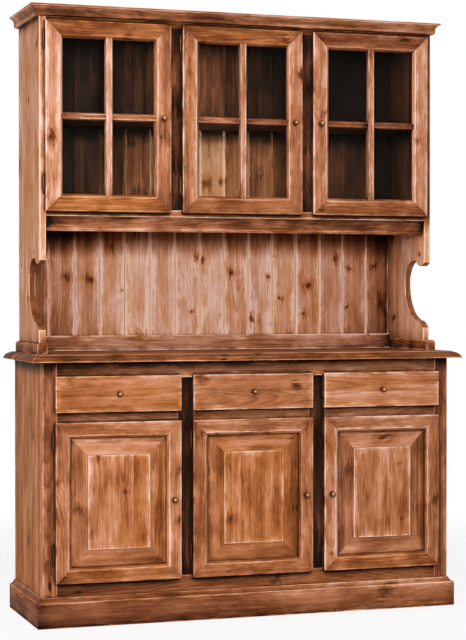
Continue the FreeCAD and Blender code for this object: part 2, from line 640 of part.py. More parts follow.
def panel_door_pieces():
    """The panelled door's frame, and its raised panel with an edge, a bevel and a field."""
    inner_edge = [("PanelMember", PANEL_GROOVE), ("(PanelMember - GrooveDepth)", PANEL_GROOVE),
                  ("(PanelMember - GrooveDepth)", PANEL_GROOVE_BACK), ("PanelMember", PANEL_GROOVE_BACK),
                  ("PanelMember", FRONT_THICK), ("0", FRONT_THICK)]
    frame = door_frame("panel_door", FRONT_WIDTH, DOOR_HEIGHT, "PanelMember", inner_edge)
    half = f"({FRONT_WIDTH}/2 - PanelMember)"
    low, high = "PanelMember", f"({DOOR_HEIGHT} - PanelMember)"
    front, back = f"({PANEL_GROOVE} + GrooveAir)", f"({PANEL_GROOVE} + GrooveAir + PanelEdge)"
    reach = "(GrooveDepth - 2*GrooveAir)"
    edge = board("panel_edge", (f"-1*{half} - {reach}", f"{half} + {reach}"), (front, back),
                 (f"{low} - {reach}", f"{high} + {reach}"))
    bevel = doc.addObject("Part::Wedge", "panel_bevel")
    field_front = "(FieldSink + FieldStep)"
    bind(bevel, Xmin=f"PanelBevel - {half}", Xmax=f"{half} - PanelBevel", X2min=f"-1*{half}", X2max=half,
         Ymin=field_front, Ymax=front, Zmin=f"{low} + PanelBevel", Zmax=f"{high} - PanelBevel",
         Z2min=low, Z2max=high)
    field = board("panel_field", (f"PanelBevel - {half}", f"{half} - PanelBevel"), ("FieldSink", front),
                  (f"{low} + PanelBevel", f"{high} - PanelBevel"))
    return frame, fuse("raised_panel", [edge, bevel, field])


def bar(name, x, z, narrow_x, narrow_z):
    """A glazing bar with sloping sides, wide at the glass and narrow at its face."""
    piece = doc.addObject("Part::Wedge", name)
    bind(piece, Xmin=f"{x[0]} + {narrow_x}", Xmax=f"{x[1]} - {narrow_x}", X2min=x[0], X2max=x[1],
         Ymin="BarSink", Ymax=REBATE, Zmin=f"{z[0]} + {narrow_z}", Zmax=f"{z[1]} - {narrow_z}",
         Z2min=z[0], Z2max=z[1])
    return piece


def glazed_door_pieces():
    """The glazed door's frame, its crossed bars and back beads, and its pane of glass."""
    inner_edge = [("GlassMember", REBATE), ("(GlassMember - RebateWidth)", REBATE),
                  ("(GlassMember - RebateWidth)", GLASS_DOOR_THICK), ("0", GLASS_DOOR_THICK)]
    frame = door_frame("glazed_door", GLASS_DOOR_WIDTH, "GlassDoorHeight", "GlassMember", inner_edge)
    members = fuse("glazed_door_members", frame)
    half = f"({GLASS_DOOR_WIDTH}/2 - GlassMember)"
    low, high = "GlassMember", "(GlassDoorHeight - GlassMember)"
    middle = "GlassDoorHeight/2"
    ends = "MouldWidth"
    upright = bar("bar_upright", ("-1*BarWidth/2", "BarWidth/2"), (f"{low} - {ends}", f"{high} + {ends}"),
                  "BarSlope", "0")
    level = bar("bar_level", (f"-1*{half} - {ends}", f"{half} + {ends}"),
                (f"{middle} - CrossBarWidth/2", f"{middle} + CrossBarWidth/2"), "0", "BarSlope")
    upright = cut("upright_bar", upright, members)
    level = cut("level_bar", cut("level_bar_fitted", level, members), upright)
    reach = "(RebateWidth - 2*GrooveAir)"
    glass_y = (f"{REBATE} + GrooveAir", f"{REBATE} + GrooveAir + GlassThick")
    x = (f"-1*{half} - {reach}", f"{half} + {reach}")
    z = (f"{low} - {reach}", f"{high} + {reach}")
    glass = board("glass_pane", x, glass_y, z)
    bead_y = (glass_y[1], GLASS_DOOR_THICK)
    side_bead = board("side_bead", (x[0], f"-1*{half}"), bead_y, z)
    low_bead = board("low_bead", (f"-1*{half}", half), bead_y, (z[0], low))
    beads = [side_bead, mirrored("side_bead_right", side_bead), low_bead,
             mirrored("top_bead", low_bead, height="GlassDoorHeight")]
    return frame, [upright, level] + beads, glass


def hinge_halves():
    """A barrel hinge with tips: the lower half has the pin and is held by the frame."""
    to_neck = "(HingeTipBall + sqrt(HingeTipBall^2 - HingeTipNeck^2))"
    share = f"HingeTipBall/sqrt(HingeTipNeck^2 + {to_neck}^2)"
    end = "(HingeBarrel + HingeTip)"
    pin_top = "(HingeBarrel - 2*HingePinRadius)"
    bore = "(HingePinRadius + HingePinAir)"
    lower = turned("hinge_pin_half", [
        ("0", f"-1*{end}", (share, 1)), ("HingeTipNeck", f"{to_neck} - {end}"),
        ("HingeTipNeck", "-1*HingeBarrel"), ("HingeRadius", "-1*HingeBarrel"), ("HingeRadius", "0"),
        ("HingePinRadius", "0"), ("HingePinRadius", pin_top), ("0", pin_top)])
    upper = turned("hinge_bore_half", [
        (bore, "HingeAir"), ("HingeRadius", "HingeAir"), ("HingeRadius", "HingeBarrel"),
        ("HingeTipNeck", "HingeBarrel"), ("HingeTipNeck", f"{end} - {to_neck}", (share, 1)), ("0", end),
        ("0", f"{pin_top} + HingeAir"), (bore, f"{pin_top} + HingeAir")])
    frame_arm = rod("hinge_frame_arm", "HingeArm", "HingeBefore", "0", "0", "-1*HingeBarrel/2", ALONG_Y)
    start = f"(HingeRadius + {bore})/2"
    door_arm = rod("hinge_door_arm", "HingeArm", f"HingeBeside - {start}",
                   start, "0", "HingeBarrel/2", ALONG_X)
    frame_half = fuse("hinge_frame_half", [lower, frame_arm])
    door_half = fuse("hinge_door_half", [upper, door_arm])
    return frame_half, door_half, mirrored("hinge_door_half_right", door_half)


def hinge_sets(name, halves, wide, tall, stand):
    """The door's halves for a left and a right hand, on its own origin, and where they stand."""
    heights = ("HingeBottomInset", f"({tall} - HingeTopInset)")
    y = f"({stand} - HingeBefore)"
    sets = {}
    for hand, half, x in (("left", halves[1], f"(-1*({wide}/2 + HingeBeside))"),
                          ("right", halves[2], f"({wide}/2 + HingeBeside)")):
        copies = [copy_at(f"{name}_{hand}_half_{number}", half, x, y, height)
                  for number, height in enumerate(heights)]
        sets[hand] = (copies, [(x, y, height) for height in heights])
    return sets


HAND = {"left": "left", "middle": "left", "right": "right"}


def doors(knob_body):
    """Three panelled doors and three glazed doors. The right-hand ones hang on their right edge."""
    halves = hinge_halves()
    frame_halves = []
    panel_frame, panel = panel_door_pieces()
    glazed_frame, bars, glass = glazed_door_pieces()
    kinds = (
        ("base_door", BAY, FRONT_FACE, DOOR_BOTTOM, FRONT_WIDTH, DOOR_HEIGHT, "FrontStand",
         "PanelMember/2", f"{DOOR_HEIGHT}/2", {"frame": panel_frame, "panel": [panel]}),
        ("glass_door", GLASS_BAY, GLASS_FACE, GLASS_DOOR_BOTTOM, GLASS_DOOR_WIDTH, "GlassDoorHeight",
         "GlassStand", "GlassKnobInset", "GlassDoorHeight/2",
         {"frame": glazed_frame, "bars": bars, "glass": [glass]}),
    )
    for name, bay, face, bottom, wide, tall, stand, inset, rise, pieces in kinds:
        sets = hinge_sets(name, halves, wide, tall, stand)
        for side in SIDES:
            copies, places = sets[HAND[side]]
            for piece, solids in pieces.items():
                node(f"{name}_{side}_{piece}", solids, bay[side], face, bottom)
            free = "1" if HAND[side] == "left" else "-1"
            node(f"{name}_{side}_knob", [knob_body], f"{bay[side]} + {free}*({wide}/2 - {inset})", face,
                 f"{bottom} + {rise}")
            node(f"{name}_{side}_hinges", copies, bay[side], face, bottom)
            for number, (x, y, z) in enumerate(places):
                frame_halves.append(copy_at(f"{name}_{side}_pin_{number}", halves[0], f"{bay[side]} + {x}",
                                            f"{face} + {y}", f"{bottom} + {z}"))
    node("hinge_pins", frame_halves)


# Hutch

def hutch_feet():
    wide = "(HutchSide + FootProud)"
    ahead = f"({HUTCH_FRONT} - FootAhead)"
    foot = padded("foot_left", "XZ_Plane", [
        ("0", "0"), (wide, "0"), (wide, "FootHeight"), ("0", "FootHeight")],
        f"{BACK} - {ahead}", backwards=True)

    def top_outer_or_front(box, whole):
        on_top = whole.ZMax - box.ZMin < whole.ZLength / 2
        at_side = box.XMax - whole.XMin < whole.XLength / 2
        at_front = box.YMax - whole.YMin < whole.YLength / 2
        return on_top and (at_side or at_front)

    rounded_edges(foot, "FootRound", top_outer_or_front)
    place(foot, f"-1*({HUTCH_WIDTH}/2 + FootProud)", ahead, WORKTOP_TOP)
    node("hutch_feet", [foot, mirrored("foot_right", foot)])


def hutch_sides():
    """Each side is one board, with a lobe, a deep scroll and a heel cut in its front edge."""
    deep = f"({BACK} - {HUTCH_FRONT})"
    tall = f"({CORNICE_BOTTOM} - {FOOT_TOP})"
    left = padded("hutch_side_left", "YZ_Plane", [
        ("HutchLowerSetback", "0"), (deep, "0"), (deep, tall), ("0", tall),
        ("0", "LobeRise", ("LobeShare", 1)), ("LobeReach", "CuspRise", ("ScrollTopShare", -1)),
        ("ScrollDeep", "ScrollMiddle", ("ScrollLowShare", -1)), ("HeelReach", "HeelRise", ("HeelShare", 1)),
        ("HutchLowerSetback", "HeelRise - HeelDrop")], "HutchSide")
    place(left, f"-1*{HUTCH_WIDTH}/2", HUTCH_FRONT, FOOT_TOP)
    node("hutch_sides", [left, mirrored("hutch_side_right", left)])


WIDE_BOARDS = 14


def hutch_back():
    """Upright boards with bevelled edges, one narrow and the rest alike, and the rail at their foot."""
    pitch = f"((2*{HUTCH_INNER} - EdgeBoard)/{WIDE_BOARDS})"
    tall = f"{CORNICE_BOTTOM} - {WORKTOP_TOP}"

    def section(wide):
        return [("BackGroove", "0"), (f"{wide} - BackGroove", "0"), (wide, "BackGroove"),
                (wide, "BackBoard"), ("0", "BackBoard"), ("0", "BackGroove")]

    narrow = padded("back_board_narrow", "XY_Plane", section("EdgeBoard"), tall)
    wide = padded("back_board", "XY_Plane", section(pitch), tall)
    boards = [copy_at("back_board_edge", narrow, f"-1*{HUTCH_INNER}", BOARD_FRONT, WORKTOP_TOP)]
    for number in range(WIDE_BOARDS):
        x = f"EdgeBoard - {HUTCH_INNER} + {number}*{pitch}"
        boards.append(copy_at(f"back_board_{number}", wide, x, BOARD_FRONT, WORKTOP_TOP))
    node("hutch_back_boards", boards)
    rail = padded("back_rail", "YZ_Plane", [
        ("0", "0"), ("BackRailThick", "0"), ("BackRailThick", "BackRailHeight"),
        ("BackRailRound", "BackRailHeight", (QUARTER, 1)), ("0", "BackRailHeight - BackRailRound")],
        f"2*{HUTCH_INNER}", middle=True)
    place(rail, y=f"{BOARD_FRONT} - BackRailThick", z=WORKTOP_TOP)
    node("hutch_back_rail", [rail])


def hutch_frame():
    across = (f"-1*{HUTCH_INNER}", HUTCH_INNER)
    front = (HUTCH_FRONT, HUTCH_FRAME_BACK)
    floor = (HUTCH_FLOOR_BOTTOM, HUTCH_FLOOR_TOP)
    node("hutch_bottom", [board("hutch_floor_board", across, (HUTCH_FRONT, BOARD_FRONT), floor)])
    rail = (f"{GLASS_DOOR_TOP} - Overlap", CORNICE_BOTTOM)
    node("hutch_top_rail", [board("hutch_rail", across, front, rail)])
    x = (f"-1*{GLASS_PITCH}/2 - HutchGap/2 - Overlap", f"-1*{GLASS_PITCH}/2 + HutchGap/2 + Overlap")
    post = board("post_left", x, front, (HUTCH_FLOOR_TOP, rail[0]))
    node("hutch_posts", [post, mirrored("post_right", post)])
    span = (f"-1*({HUTCH_INNER} - ShelfClear)", f"{HUTCH_INNER} - ShelfClear")
    node("hutch_shelf", [board("hutch_shelf_board", span, GLASS_SHELF_Y, GLASS_SHELF_Z)])
    top = board("hutch_top_board", (f"-1*{HUTCH_WIDTH}/2", f"{HUTCH_WIDTH}/2"), (CORNICE_BACK, BACK),
                (CORNICE_BOTTOM, f"{CORNICE_BOTTOM} + HutchTop"))
    node("hutch_top", [top])
    apron = padded("apron", "YZ_Plane", [
        ("0", "0"), ("ApronThick", "0"), ("ApronThick", "ApronHeight"), ("0", "ApronHeight"),
        ("0", "ApronBead", ("BeadShare", 1))], f"2*{HUTCH_INNER}", middle=True)
    place(apron, y=HUTCH_FRAME_BACK, z=f"{HUTCH_FLOOR_BOTTOM} - ApronHeight")
    node("hutch_apron", [apron])


def cornice():
    """Three mitred mouldings with a top edge, a cove, a neck and a bead."""
    half = f"({HUTCH_WIDTH}/2 + CorniceOut)"
    front_face = f"({CORNICE_BACK} - CorniceOut)"

    def section(back):
        return [(f"{back} - CorniceNeck + CorniceBead", "0"), (back, "0"), (back, "CorniceHeight"),
                (f"{back} - CorniceOut", "CorniceHeight"),
                (f"{back} - CorniceOut", "CorniceHeight - CorniceFillet", ("CoveShare", -1)),
                (f"{back} - CorniceNeck", "CorniceNeckRise"),
                (f"{back} - CorniceNeck", "CorniceBead", (QUARTER, 1))]

    front = padded("cornice_front", "YZ_Plane", section("CorniceOut"), f"2*{half}", middle=True)
    cut_through(front, "XY_Plane", [mitre(f"-1*{half}", "0", "CorniceOut"),
                                    mitre(half, "0", "CorniceOut", along="-1")])
    place(front, y=front_face, z=CORNICE_BOTTOM)
    left = padded("cornice_left", "XZ_Plane", section(f"-1*{HUTCH_WIDTH}/2"),
                  f"{BACK} - {front_face}", backwards=True)
    cut_through(left, "XY_Plane", [swapped(mitre("0", f"-1*{half}", "CorniceOut"))])
    place(left, y=front_face, z=CORNICE_BOTTOM)
    node("cornice", [front, left, mirrored("cornice_right", left)])


def write_parts():
    """Recompute, check every object and write one file for each sub-part."""
    doc.recompute()
    bad = [item.Name for item in doc.Objects if "Invalid" in item.State or "Error" in item.State]
    if bad:
        raise RuntimeError("failed objects: " + ", ".join(bad))
    os.makedirs("parts", exist_ok=True)
    for part in NODES:
        if part.Shape.isNull() or not part.Shape.isValid():
            raise RuntimeError("bad shape: " + part.Label)
        part.Shape.exportStep(f"parts/{part.Label}.step")


base_sides()
face_frame()
WALLS, SHELF_Y, SHELF_Z = base_inside()
drawer_runners(WALLS)
shelf_pins(WALLS, SHELF_Y, SHELF_Z)
plinth()
worktop()
KNOB = knob()
drawers(KNOB)
doors(KNOB)
hutch_feet()
hutch_sides()
hutch_back()
hutch_frame()
cornice()
write_parts()
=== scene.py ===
"""The looks of the display cabinet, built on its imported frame.

A base with three drawers over three panelled doors carries a worktop and a
hutch, which is open below and has three glazed doors above. All of it is
knotty pine, stained and waxed, with edges worn pale. Every board is milled
here from its CAD solid: glued up from staves where it is wide, eased along its
edges and given a direction of grain. The brass, the steel and the glass keep
their CAD shapes and get their finish.
"""

import json
import math
import random
from typing import NamedTuple

import bmesh
import bpy
from bpy.props import FloatProperty, FloatVectorProperty, PointerProperty
from bpy.types import Operator, Panel, PropertyGroup
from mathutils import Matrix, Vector

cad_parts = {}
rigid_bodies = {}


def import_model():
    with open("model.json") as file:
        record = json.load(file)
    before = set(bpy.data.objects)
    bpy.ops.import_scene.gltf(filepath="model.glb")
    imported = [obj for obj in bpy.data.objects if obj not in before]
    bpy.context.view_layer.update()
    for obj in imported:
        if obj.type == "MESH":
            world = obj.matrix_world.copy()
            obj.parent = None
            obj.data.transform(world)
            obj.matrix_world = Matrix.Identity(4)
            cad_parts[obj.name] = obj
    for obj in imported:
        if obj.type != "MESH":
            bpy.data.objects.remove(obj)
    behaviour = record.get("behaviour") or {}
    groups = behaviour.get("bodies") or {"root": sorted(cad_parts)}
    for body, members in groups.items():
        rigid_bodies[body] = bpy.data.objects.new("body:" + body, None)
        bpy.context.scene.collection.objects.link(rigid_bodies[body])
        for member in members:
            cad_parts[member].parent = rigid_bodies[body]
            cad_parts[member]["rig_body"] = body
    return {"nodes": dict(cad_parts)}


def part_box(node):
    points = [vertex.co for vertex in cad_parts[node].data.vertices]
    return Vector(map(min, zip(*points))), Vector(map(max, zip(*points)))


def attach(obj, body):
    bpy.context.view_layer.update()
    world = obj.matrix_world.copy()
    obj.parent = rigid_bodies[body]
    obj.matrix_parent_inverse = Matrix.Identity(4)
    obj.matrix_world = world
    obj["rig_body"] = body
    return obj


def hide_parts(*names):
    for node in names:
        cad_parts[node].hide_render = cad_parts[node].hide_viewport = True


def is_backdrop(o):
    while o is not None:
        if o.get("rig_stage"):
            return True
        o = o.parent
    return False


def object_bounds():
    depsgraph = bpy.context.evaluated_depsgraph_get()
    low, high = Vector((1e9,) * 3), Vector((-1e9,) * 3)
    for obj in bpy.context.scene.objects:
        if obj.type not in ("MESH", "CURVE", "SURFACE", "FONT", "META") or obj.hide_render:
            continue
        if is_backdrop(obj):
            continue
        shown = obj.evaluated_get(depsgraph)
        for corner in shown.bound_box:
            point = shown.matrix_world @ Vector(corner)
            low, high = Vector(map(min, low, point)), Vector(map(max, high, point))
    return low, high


bl_info = {
    "name": "Display cabinet",
    "version": (1, 0, 0),
    "blender": (4, 5, 0),
    "location": "3D View > Sidebar > Cabinet",
    "description": "Dresses the packed display cabinet in waxed knotty pine",
    "category": "Object",
}

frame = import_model()
CAD_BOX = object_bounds()

MILLIMETRE = 0.001
SIDES = ("left", "middle", "right")
UPRIGHT = 2  # the axis that points up


def put_in_scene(name, data):
    """A new object in the scene that shows a mesh, a lamp or a camera."""
    made = bpy.data.objects.new(name, data)
    bpy.context.scene.collection.objects.link(made)
    return made


# Settings


def colour(red, green, blue):
    """A screen colour of 0 to 255 as the linear colour that Blender works in."""
    shares = (value / 255 for value in (red, green, blue))
    return tuple(s / 12.92 if s <= 0.04045 else ((s + 0.055) / 1.055) ** 2.4 for s in shares)


def amount(name, description, default, **more):
    return FloatProperty(name=name, description=description, default=default, min=0, **more)


def length(name, description, default):
    return amount(name, description, default, unit="LENGTH", precision=4)


def share(name, description, default):
    return amount(name, description, default, max=1, subtype="FACTOR")


def power(name, description, default):
    return amount(name, description, default, unit="POWER")


def paint(name, description, *levels):
    return FloatVectorProperty(name=name, description=description, default=colour(*levels),
                               subtype="COLOR", size=3, min=0, max=1)


class CabinetTimber(PropertyGroup):
    """How the boards are cut and how their grain runs."""

    arris: length("Arris", "Width of the easing along a board's edges", 1.3 * MILLIMETRE)
    joint_arris: length("Arris at a joint", "Width of the easing where one board meets another",
                        0.5 * MILLIMETRE)
    widest_board: length("Widest board", "A board wider than this is glued up from staves", 0.2)
    stave: length("Stave", "Usual width of a stave", 0.125)
    ring: length("Growth ring", "Distance from one growth ring to the next", 4.6 * MILLIMETRE)
    knot: length("Knot", "Radius of the largest knots", 13 * MILLIMETRE)
    wear: length("Wear", "How far from an edge the stain is worn away", 4 * MILLIMETRE)
    moulding: length("Moulding", "Surfaces narrower than this are worn at their arrises only",
                     12 * MILLIMETRE)


class CabinetStain(PropertyGroup):
    """The stain's colours, from the palest wood to the darkest."""

    sealed: paint("Sealed", "Pine inside the cabinet, where there is no stain", 240, 208, 168)
    bare: paint("Bare", "Pine where the stain is worn through", 236, 196, 166)
    pale: paint("Pale", "Pine with little stain", 212, 154, 119)
    honey: paint("Honey", "Pine with the usual stain", 178, 113, 70)
    brown: paint("Brown", "Pine with a heavy stain", 124, 70, 41)
    umber: paint("Umber", "Stain in the frame's dark members", 70, 38, 22)
    # Black is reached where painted shade adds to the stain: in corners, under overhangs and inside
    # the closed cupboard.
    black: paint("Black", "Stain where it gathers in corners", 24, 14, 9)
    face_tone: share("Front tone", "Stain on the drawers, from bare to black", 0.4)
    frame_tone: share("Frame tone", "Stain on the base's frame, from bare to black", 0.54)
    post_tone: share("Post tone", "Stain on the posts between doors, from bare to black", 0.84)


class CabinetMetal(PropertyGroup):
    """Colours of the fittings and the glass."""

    brass: paint("Brass", "Polished side of the knobs", 146, 108, 64)
    aged_brass: paint("Aged brass", "Hinges and the knobs' hollows", 76, 50, 30)
    steel: paint("Steel", "Shelf pins", 170, 168, 164)
    glass: paint("Glass", "Tint of the panes", 240, 246, 243)


class CabinetStudio(PropertyGroup):
    """The stage: floor, lamps and surroundings."""

    floor: paint("Floor", "Colour of the floor", 240, 240, 242)
    key: power("Key light", "Power of the lamp beside the camera", 175)
    fill: power("Side light", "Power of the lamp on the left", 70)
    top: power("Top light", "Power of the lamp overhead", 55)
    sky: amount("Surroundings", "Level of the light from all round", 0.15)


# Shaders

WHITE = (1, 1, 1)


def maths(operation):
    """A method of Field that adds a Math node with this operation."""
    def add_node(field, *others):
        return field.recipe.node("Math", {"operation": operation}, (field, *others))
    return add_node


class Field:
    """A value in a shader. Python's operators on it add Math nodes."""

    def __init__(self, recipe, socket):
        self.recipe = recipe
        self.socket = socket

    __add__ = __radd__ = maths("ADD")
    __sub__ = maths("SUBTRACT")
    __mul__ = __rmul__ = maths("MULTIPLY")
    __truediv__ = maths("DIVIDE")
    __pow__ = maths("POWER")
    fraction = maths("FRACT")
    lowest = maths("MINIMUM")
    highest = maths("MAXIMUM")
    below = maths("LESS_THAN")

    def __rsub__(self, other):
        return self.recipe.node("Math", {"operation": "SUBTRACT"}, (other, self))

    def ramp(self, start, end):
        """0 where the value is start, 1 where it is end, and smooth between."""
        return self.recipe.node("MapRange", {"interpolation_type": "SMOOTHSTEP"},
                                (self, start, end, 0, 1))

    def split(self):
        """The three parts of a vector or a colour."""
        made = self.recipe.node("SeparateXYZ", {}, (self,)).socket.node
        return [Field(self.recipe, output) for output in made.outputs]


def set_stops(ramp, stops):
    """Gives a colour ramp its stops. It starts with two."""
    for number, (place, level) in enumerate(stops):
        if number >= 2:
            ramp.elements.new(place)
        ramp.elements[number].position = place
        ramp.elements[number].color = (*level, 1)


class Recipe:
    """The nodes of one finish or backdrop."""

    def __init__(self, tree):
        self.tree = tree
        tree.nodes.clear()

    def node(self, kind, settings, inputs, output=None):
        """Adds a node: its settings first, then values or links for its sockets.

        The inputs come by name or in order. Gives back the output that is named, or the first.
        """
        made = self.tree.nodes.new("ShaderNode" + kind)
        for name, value in settings.items():
            if name == "stops":
                set_stops(made.color_ramp, value)
            else:
                setattr(made, name, value)
        sockets = [s for s in made.inputs if s.enabled]
        if isinstance(inputs, dict):
            named = {s.name: s for s in reversed(sockets)}
            pairs = [(named[name], value) for name, value in inputs.items()]
        else:
            pairs = zip(sockets, inputs)
        for socket, value in pairs:
            if isinstance(value, Field):
                self.tree.links.new(value.socket, socket)
            elif socket.type == "RGBA" and len(value) == 3:
                socket.default_value = (*value, 1)
            else:
                socket.default_value = value
        found = [s for s in made.outputs if s.enabled and output in (None, s.name)]
        return Field(self, found[0]) if found else None

    def attribute(self, name, output="Vector"):
        return self.node("Attribute", {"attribute_name": name}, (), output)

    def object_place(self):
        return self.node("TexCoord", {}, (), "Object")

    def vector(self, x, y, z):
        return self.node("CombineXYZ", {}, (x, y, z))

    def vector_maths(self, operation, *values):
        return self.node("VectorMath", {"operation": operation}, values)

    def noise(self, place, detail=2.0, roughness=0.5, scale=1):
        return self.node("TexNoise", {}, {"Vector": place, "Scale": scale, "Detail": detail,
                                          "Roughness": roughness})

    def drift(self, place):
        """Slow noise along one direction."""
        return self.node("TexNoise", {"noise_dimensions": "1D"},
                         {"W": place, "Scale": 1, "Detail": 1})

    def mix(self, factor, first, second, blend="MIX"):
        return self.node("Mix", {"data_type": "RGBA", "blend_type": blend},
                         (factor, first, second))

    def hidden(self, reach, samples=6, **more):
        """How much of what a point faces has something within reach, from 0 to 1."""
        seen = self.node("AmbientOcclusion", {"samples": samples}, {"Distance": reach, **more},
                         "AO")
        return 1 - seen

    def bump(self, height, strength, distance):
        return self.node("Bump", {}, {"Strength": strength, "Distance": distance,
                                      "Height": height})

    def principled(self, **inputs):
        """The Principled shader, its sockets named with _ for a space."""
        return self.node("BsdfPrincipled", {},
                         {name.replace("_", " "): value for name, value in inputs.items()})


def finish(cook):
    """The material that cook(recipe) makes, named after it and made on first use."""
    material = bpy.data.materials.get(cook.__name__)
    if material is None:
        material = bpy.data.materials.new(cook.__name__)
        material.use_nodes = True
        recipe = Recipe(material.node_tree)
        recipe.node("OutputMaterial", {}, {"Surface": cook(recipe)})
    return material


KNOT_CELL = 0.17, 0.1         # a board has at most one knot in this length and width
KNOT_TILT = 1.2               # how far a knot is turned from the grain, in radians
SMALLEST_KNOT = 0.25          # radius of the smallest knots, as a share of the largest
PITH_SWAY = 60 * MILLIMETRE   # how far the log's pith wanders aside
PITH_LIFT = 70 * MILLIMETRE   # and up
RING_WARP = 10 * MILLIMETRE   # how far the rings stray from round
KNOT_BEND = 11 * MILLIMETRE   # how far a knot pushes the rings aside
RUBBED = 16 * MILLIMETRE      # how far from an edge the stain is rubbed thin
SOAKED = 45 * MILLIMETRE      # how far from a sawn end the stain soaked in
HOLLOW = 30 * MILLIMETRE      # how near something makes a hollow that gets wax and dust, and painted shade
OVERHANG_SHADOW_REACH = 60 * MILLIMETRE    # how near something above casts the painted shadow beneath it
CORNER_SHADE_REACH = 260 * MILLIMETRE     # how near something makes a corner that gets painted shade
RELIEF = 0.6 * MILLIMETRE     # how high the grain stands
ROSY = (1.0, 1.04, 1.24)      # what the stain's colour is multiplied by where it is rosy
RUSTY = (1.0, 0.92, 0.69)     # and where it is rusty
WAX_IOR = 1.08                # low, so that the wax is no mirror for the lamps


class Pine:
    """Pine cut from the log: the patterns on it, the painted shade of its hollows, corners and
    overhangs, and the shade and relief that they make.
    """

    def __init__(self, recipe):
        self.recipe = recipe
        self.timber = bpy.context.scene.cabinet_timber
        self.along, self.across, self.depth = recipe.attribute("grain_place").split()
        self.tone, self.knottiness, self.flush = recipe.attribute("board_mood").split()
        self.grow_knots()
        self.grow_rings()
        self.take_stain()
        self.wear_edges()
        self.gather_dust_and_shade()

    def noise(self, lengthwise, crosswise, detail=2.0, roughness=0.5):
        """Noise that has so many patches to a metre along the grain and across it."""
        place = self.recipe.vector(self.along * lengthwise, self.across * crosswise,
                                   self.depth * crosswise)
        return self.recipe.noise(place, detail, roughness)

    def grow_knots(self):
        """Knots, at most one to each cell of a board's face, some long as a branch that lies in it.

        Their body, heart and halo begin and end at distances from the middle, in radii.
        """
        recipe = self.recipe
        cell = recipe.vector(self.along / KNOT_CELL[0], self.across / KNOT_CELL[1], 0)
        middle = recipe.node("TexVoronoi", {"voronoi_dimensions": "2D"},
                             {"Vector": cell, "Scale": 1, "Randomness": 0.85}, "Position")
        chance, size, turn = Field(recipe, middle.socket.node.outputs["Color"]).split()
        away = recipe.vector_maths("SUBTRACT", cell, middle)
        away = recipe.vector_maths("MULTIPLY", away, (*KNOT_CELL, 0))
        away = recipe.node("VectorRotate", {"rotation_type": "Z_AXIS"},
                           {"Vector": away, "Angle": turn * (2 * KNOT_TILT) - KNOT_TILT})
        long_way, short_way, _ = away.split()
        long_way = long_way / ((chance / self.knottiness) ** 4 * 1.6 + 1.2)
        distance = (long_way * long_way + short_way * short_way) ** 0.5
        ragged = self.noise(75, 75, 3, 0.6) * 1.5 + 0.25
        smallest = self.timber.knot * SMALLEST_KNOT
        radius = size ** 1.2 * (self.timber.knot - smallest) + smallest
        self.from_knot = distance * ragged / radius
        self.has_knot = chance.below(self.knottiness)
        self.knot = self.from_knot.ramp(1.2, 0.7) * self.has_knot
        self.knot_heart = self.from_knot.ramp(0.55, 0.1) * self.has_knot
        self.knot_halo = self.from_knot.ramp(3.2, 0.8) * self.has_knot

    def grow_rings(self):
        """Growth rings round a pith that wanders, parted by the knots."""
        sway = self.recipe.drift(self.along * 1.3) - 0.5
        lift = self.recipe.drift(self.along * 0.8 + 31) - 0.5
        warp = self.noise(2.6, 14) - 0.5
        aside = self.across + sway * PITH_SWAY
        up = self.depth + lift * PITH_LIFT
        radius = (aside * aside + up * up) ** 0.5 + warp * RING_WARP
        parted = self.has_knot * KNOT_BEND / (self.from_knot * self.from_knot * 0.35 + 1)
        rings = (radius + parted) / self.timber.ring
        self.ring = rings.fraction()
        self.late_wood = self.ring.ramp(0.3, 0.92) * self.ring.ramp(1.0, 0.94)
        self.year = self.recipe.drift(rings * 0.37 + 19)

    def take_stain(self):
        """How unevenly the wood takes the stain, from single fibres to large blotches."""
        self.fibre = self.noise(14, 520, 3, 0.6) - 0.5
        self.streak = self.noise(3.0, 85, 4, 0.65) - 0.5
        self.strip = self.noise(0.9, 24, 2, 0.6).ramp(0.4, 0.6) - 0.5
        self.blotch = (self.noise(7, 16, 4, 0.6) - 0.5) * self.recipe.attribute("mottle", "Fac")
        self.brushed = self.noise(22, 150, 3, 0.6) - 0.5
        self.speck = self.noise(130, 240, 1).ramp(0.7, 0.8)

    def wear_edges(self):
        """Edges worn bare or rubbed thin, ends that soaked up stain, and dark joints."""
        low, high = self.recipe.attribute("edge_low"), self.recipe.attribute("edge_high")
        along, across, depth = self.recipe.vector_maths("MINIMUM", low, high).split()
        first_end, last_end, open_end = self.recipe.attribute("board_ends").split()
        along = along + (1 - open_end)
        edge = along.lowest(across).highest(along.highest(across).lowest(depth))
        arris = self.recipe.attribute("arris", "Fac")
        wear = self.timber.wear
        self.patchy = self.noise(13, 40, 3, 0.65) - 0.5
        worn = (edge + self.patchy * (wear * 3.2)).ramp(wear, wear * 0.1)
        self.worn = worn.highest(arris * (self.patchy + 0.5).ramp(0.25, 0.45))
        self.rubbed = (edge + self.patchy * 0.09).ramp(RUBBED, 0)
        soaked = (first_end.lowest(last_end) + self.patchy * 0.05).ramp(SOAKED, 0)
        self.soaked = soaked * (1 - open_end)
        self.joint = (0 - arris).highest(0)

    def gather_dust_and_shade(self):
        """Wax and dust with painted shade in hollows, painted shade in corners and painted shadow
        beneath what stands out over the wood.
        """
        # Hollows are made darker here: partly wax and dust, partly painted shade.
        self.hollow_dust_and_shade = (self.recipe.hidden(HOLLOW) + self.patchy * 0.25).ramp(0.1, 0.75)
        # Deep corners are made darker within a quarter metre: painted shade.
        corner = self.recipe.hidden(CORNER_SHADE_REACH, samples=5).ramp(0.28, 0.95)
        # Each node's share of the painted shadow beneath what stands out over it.
        sheltered = self.recipe.attribute("sheltered", "Fac")
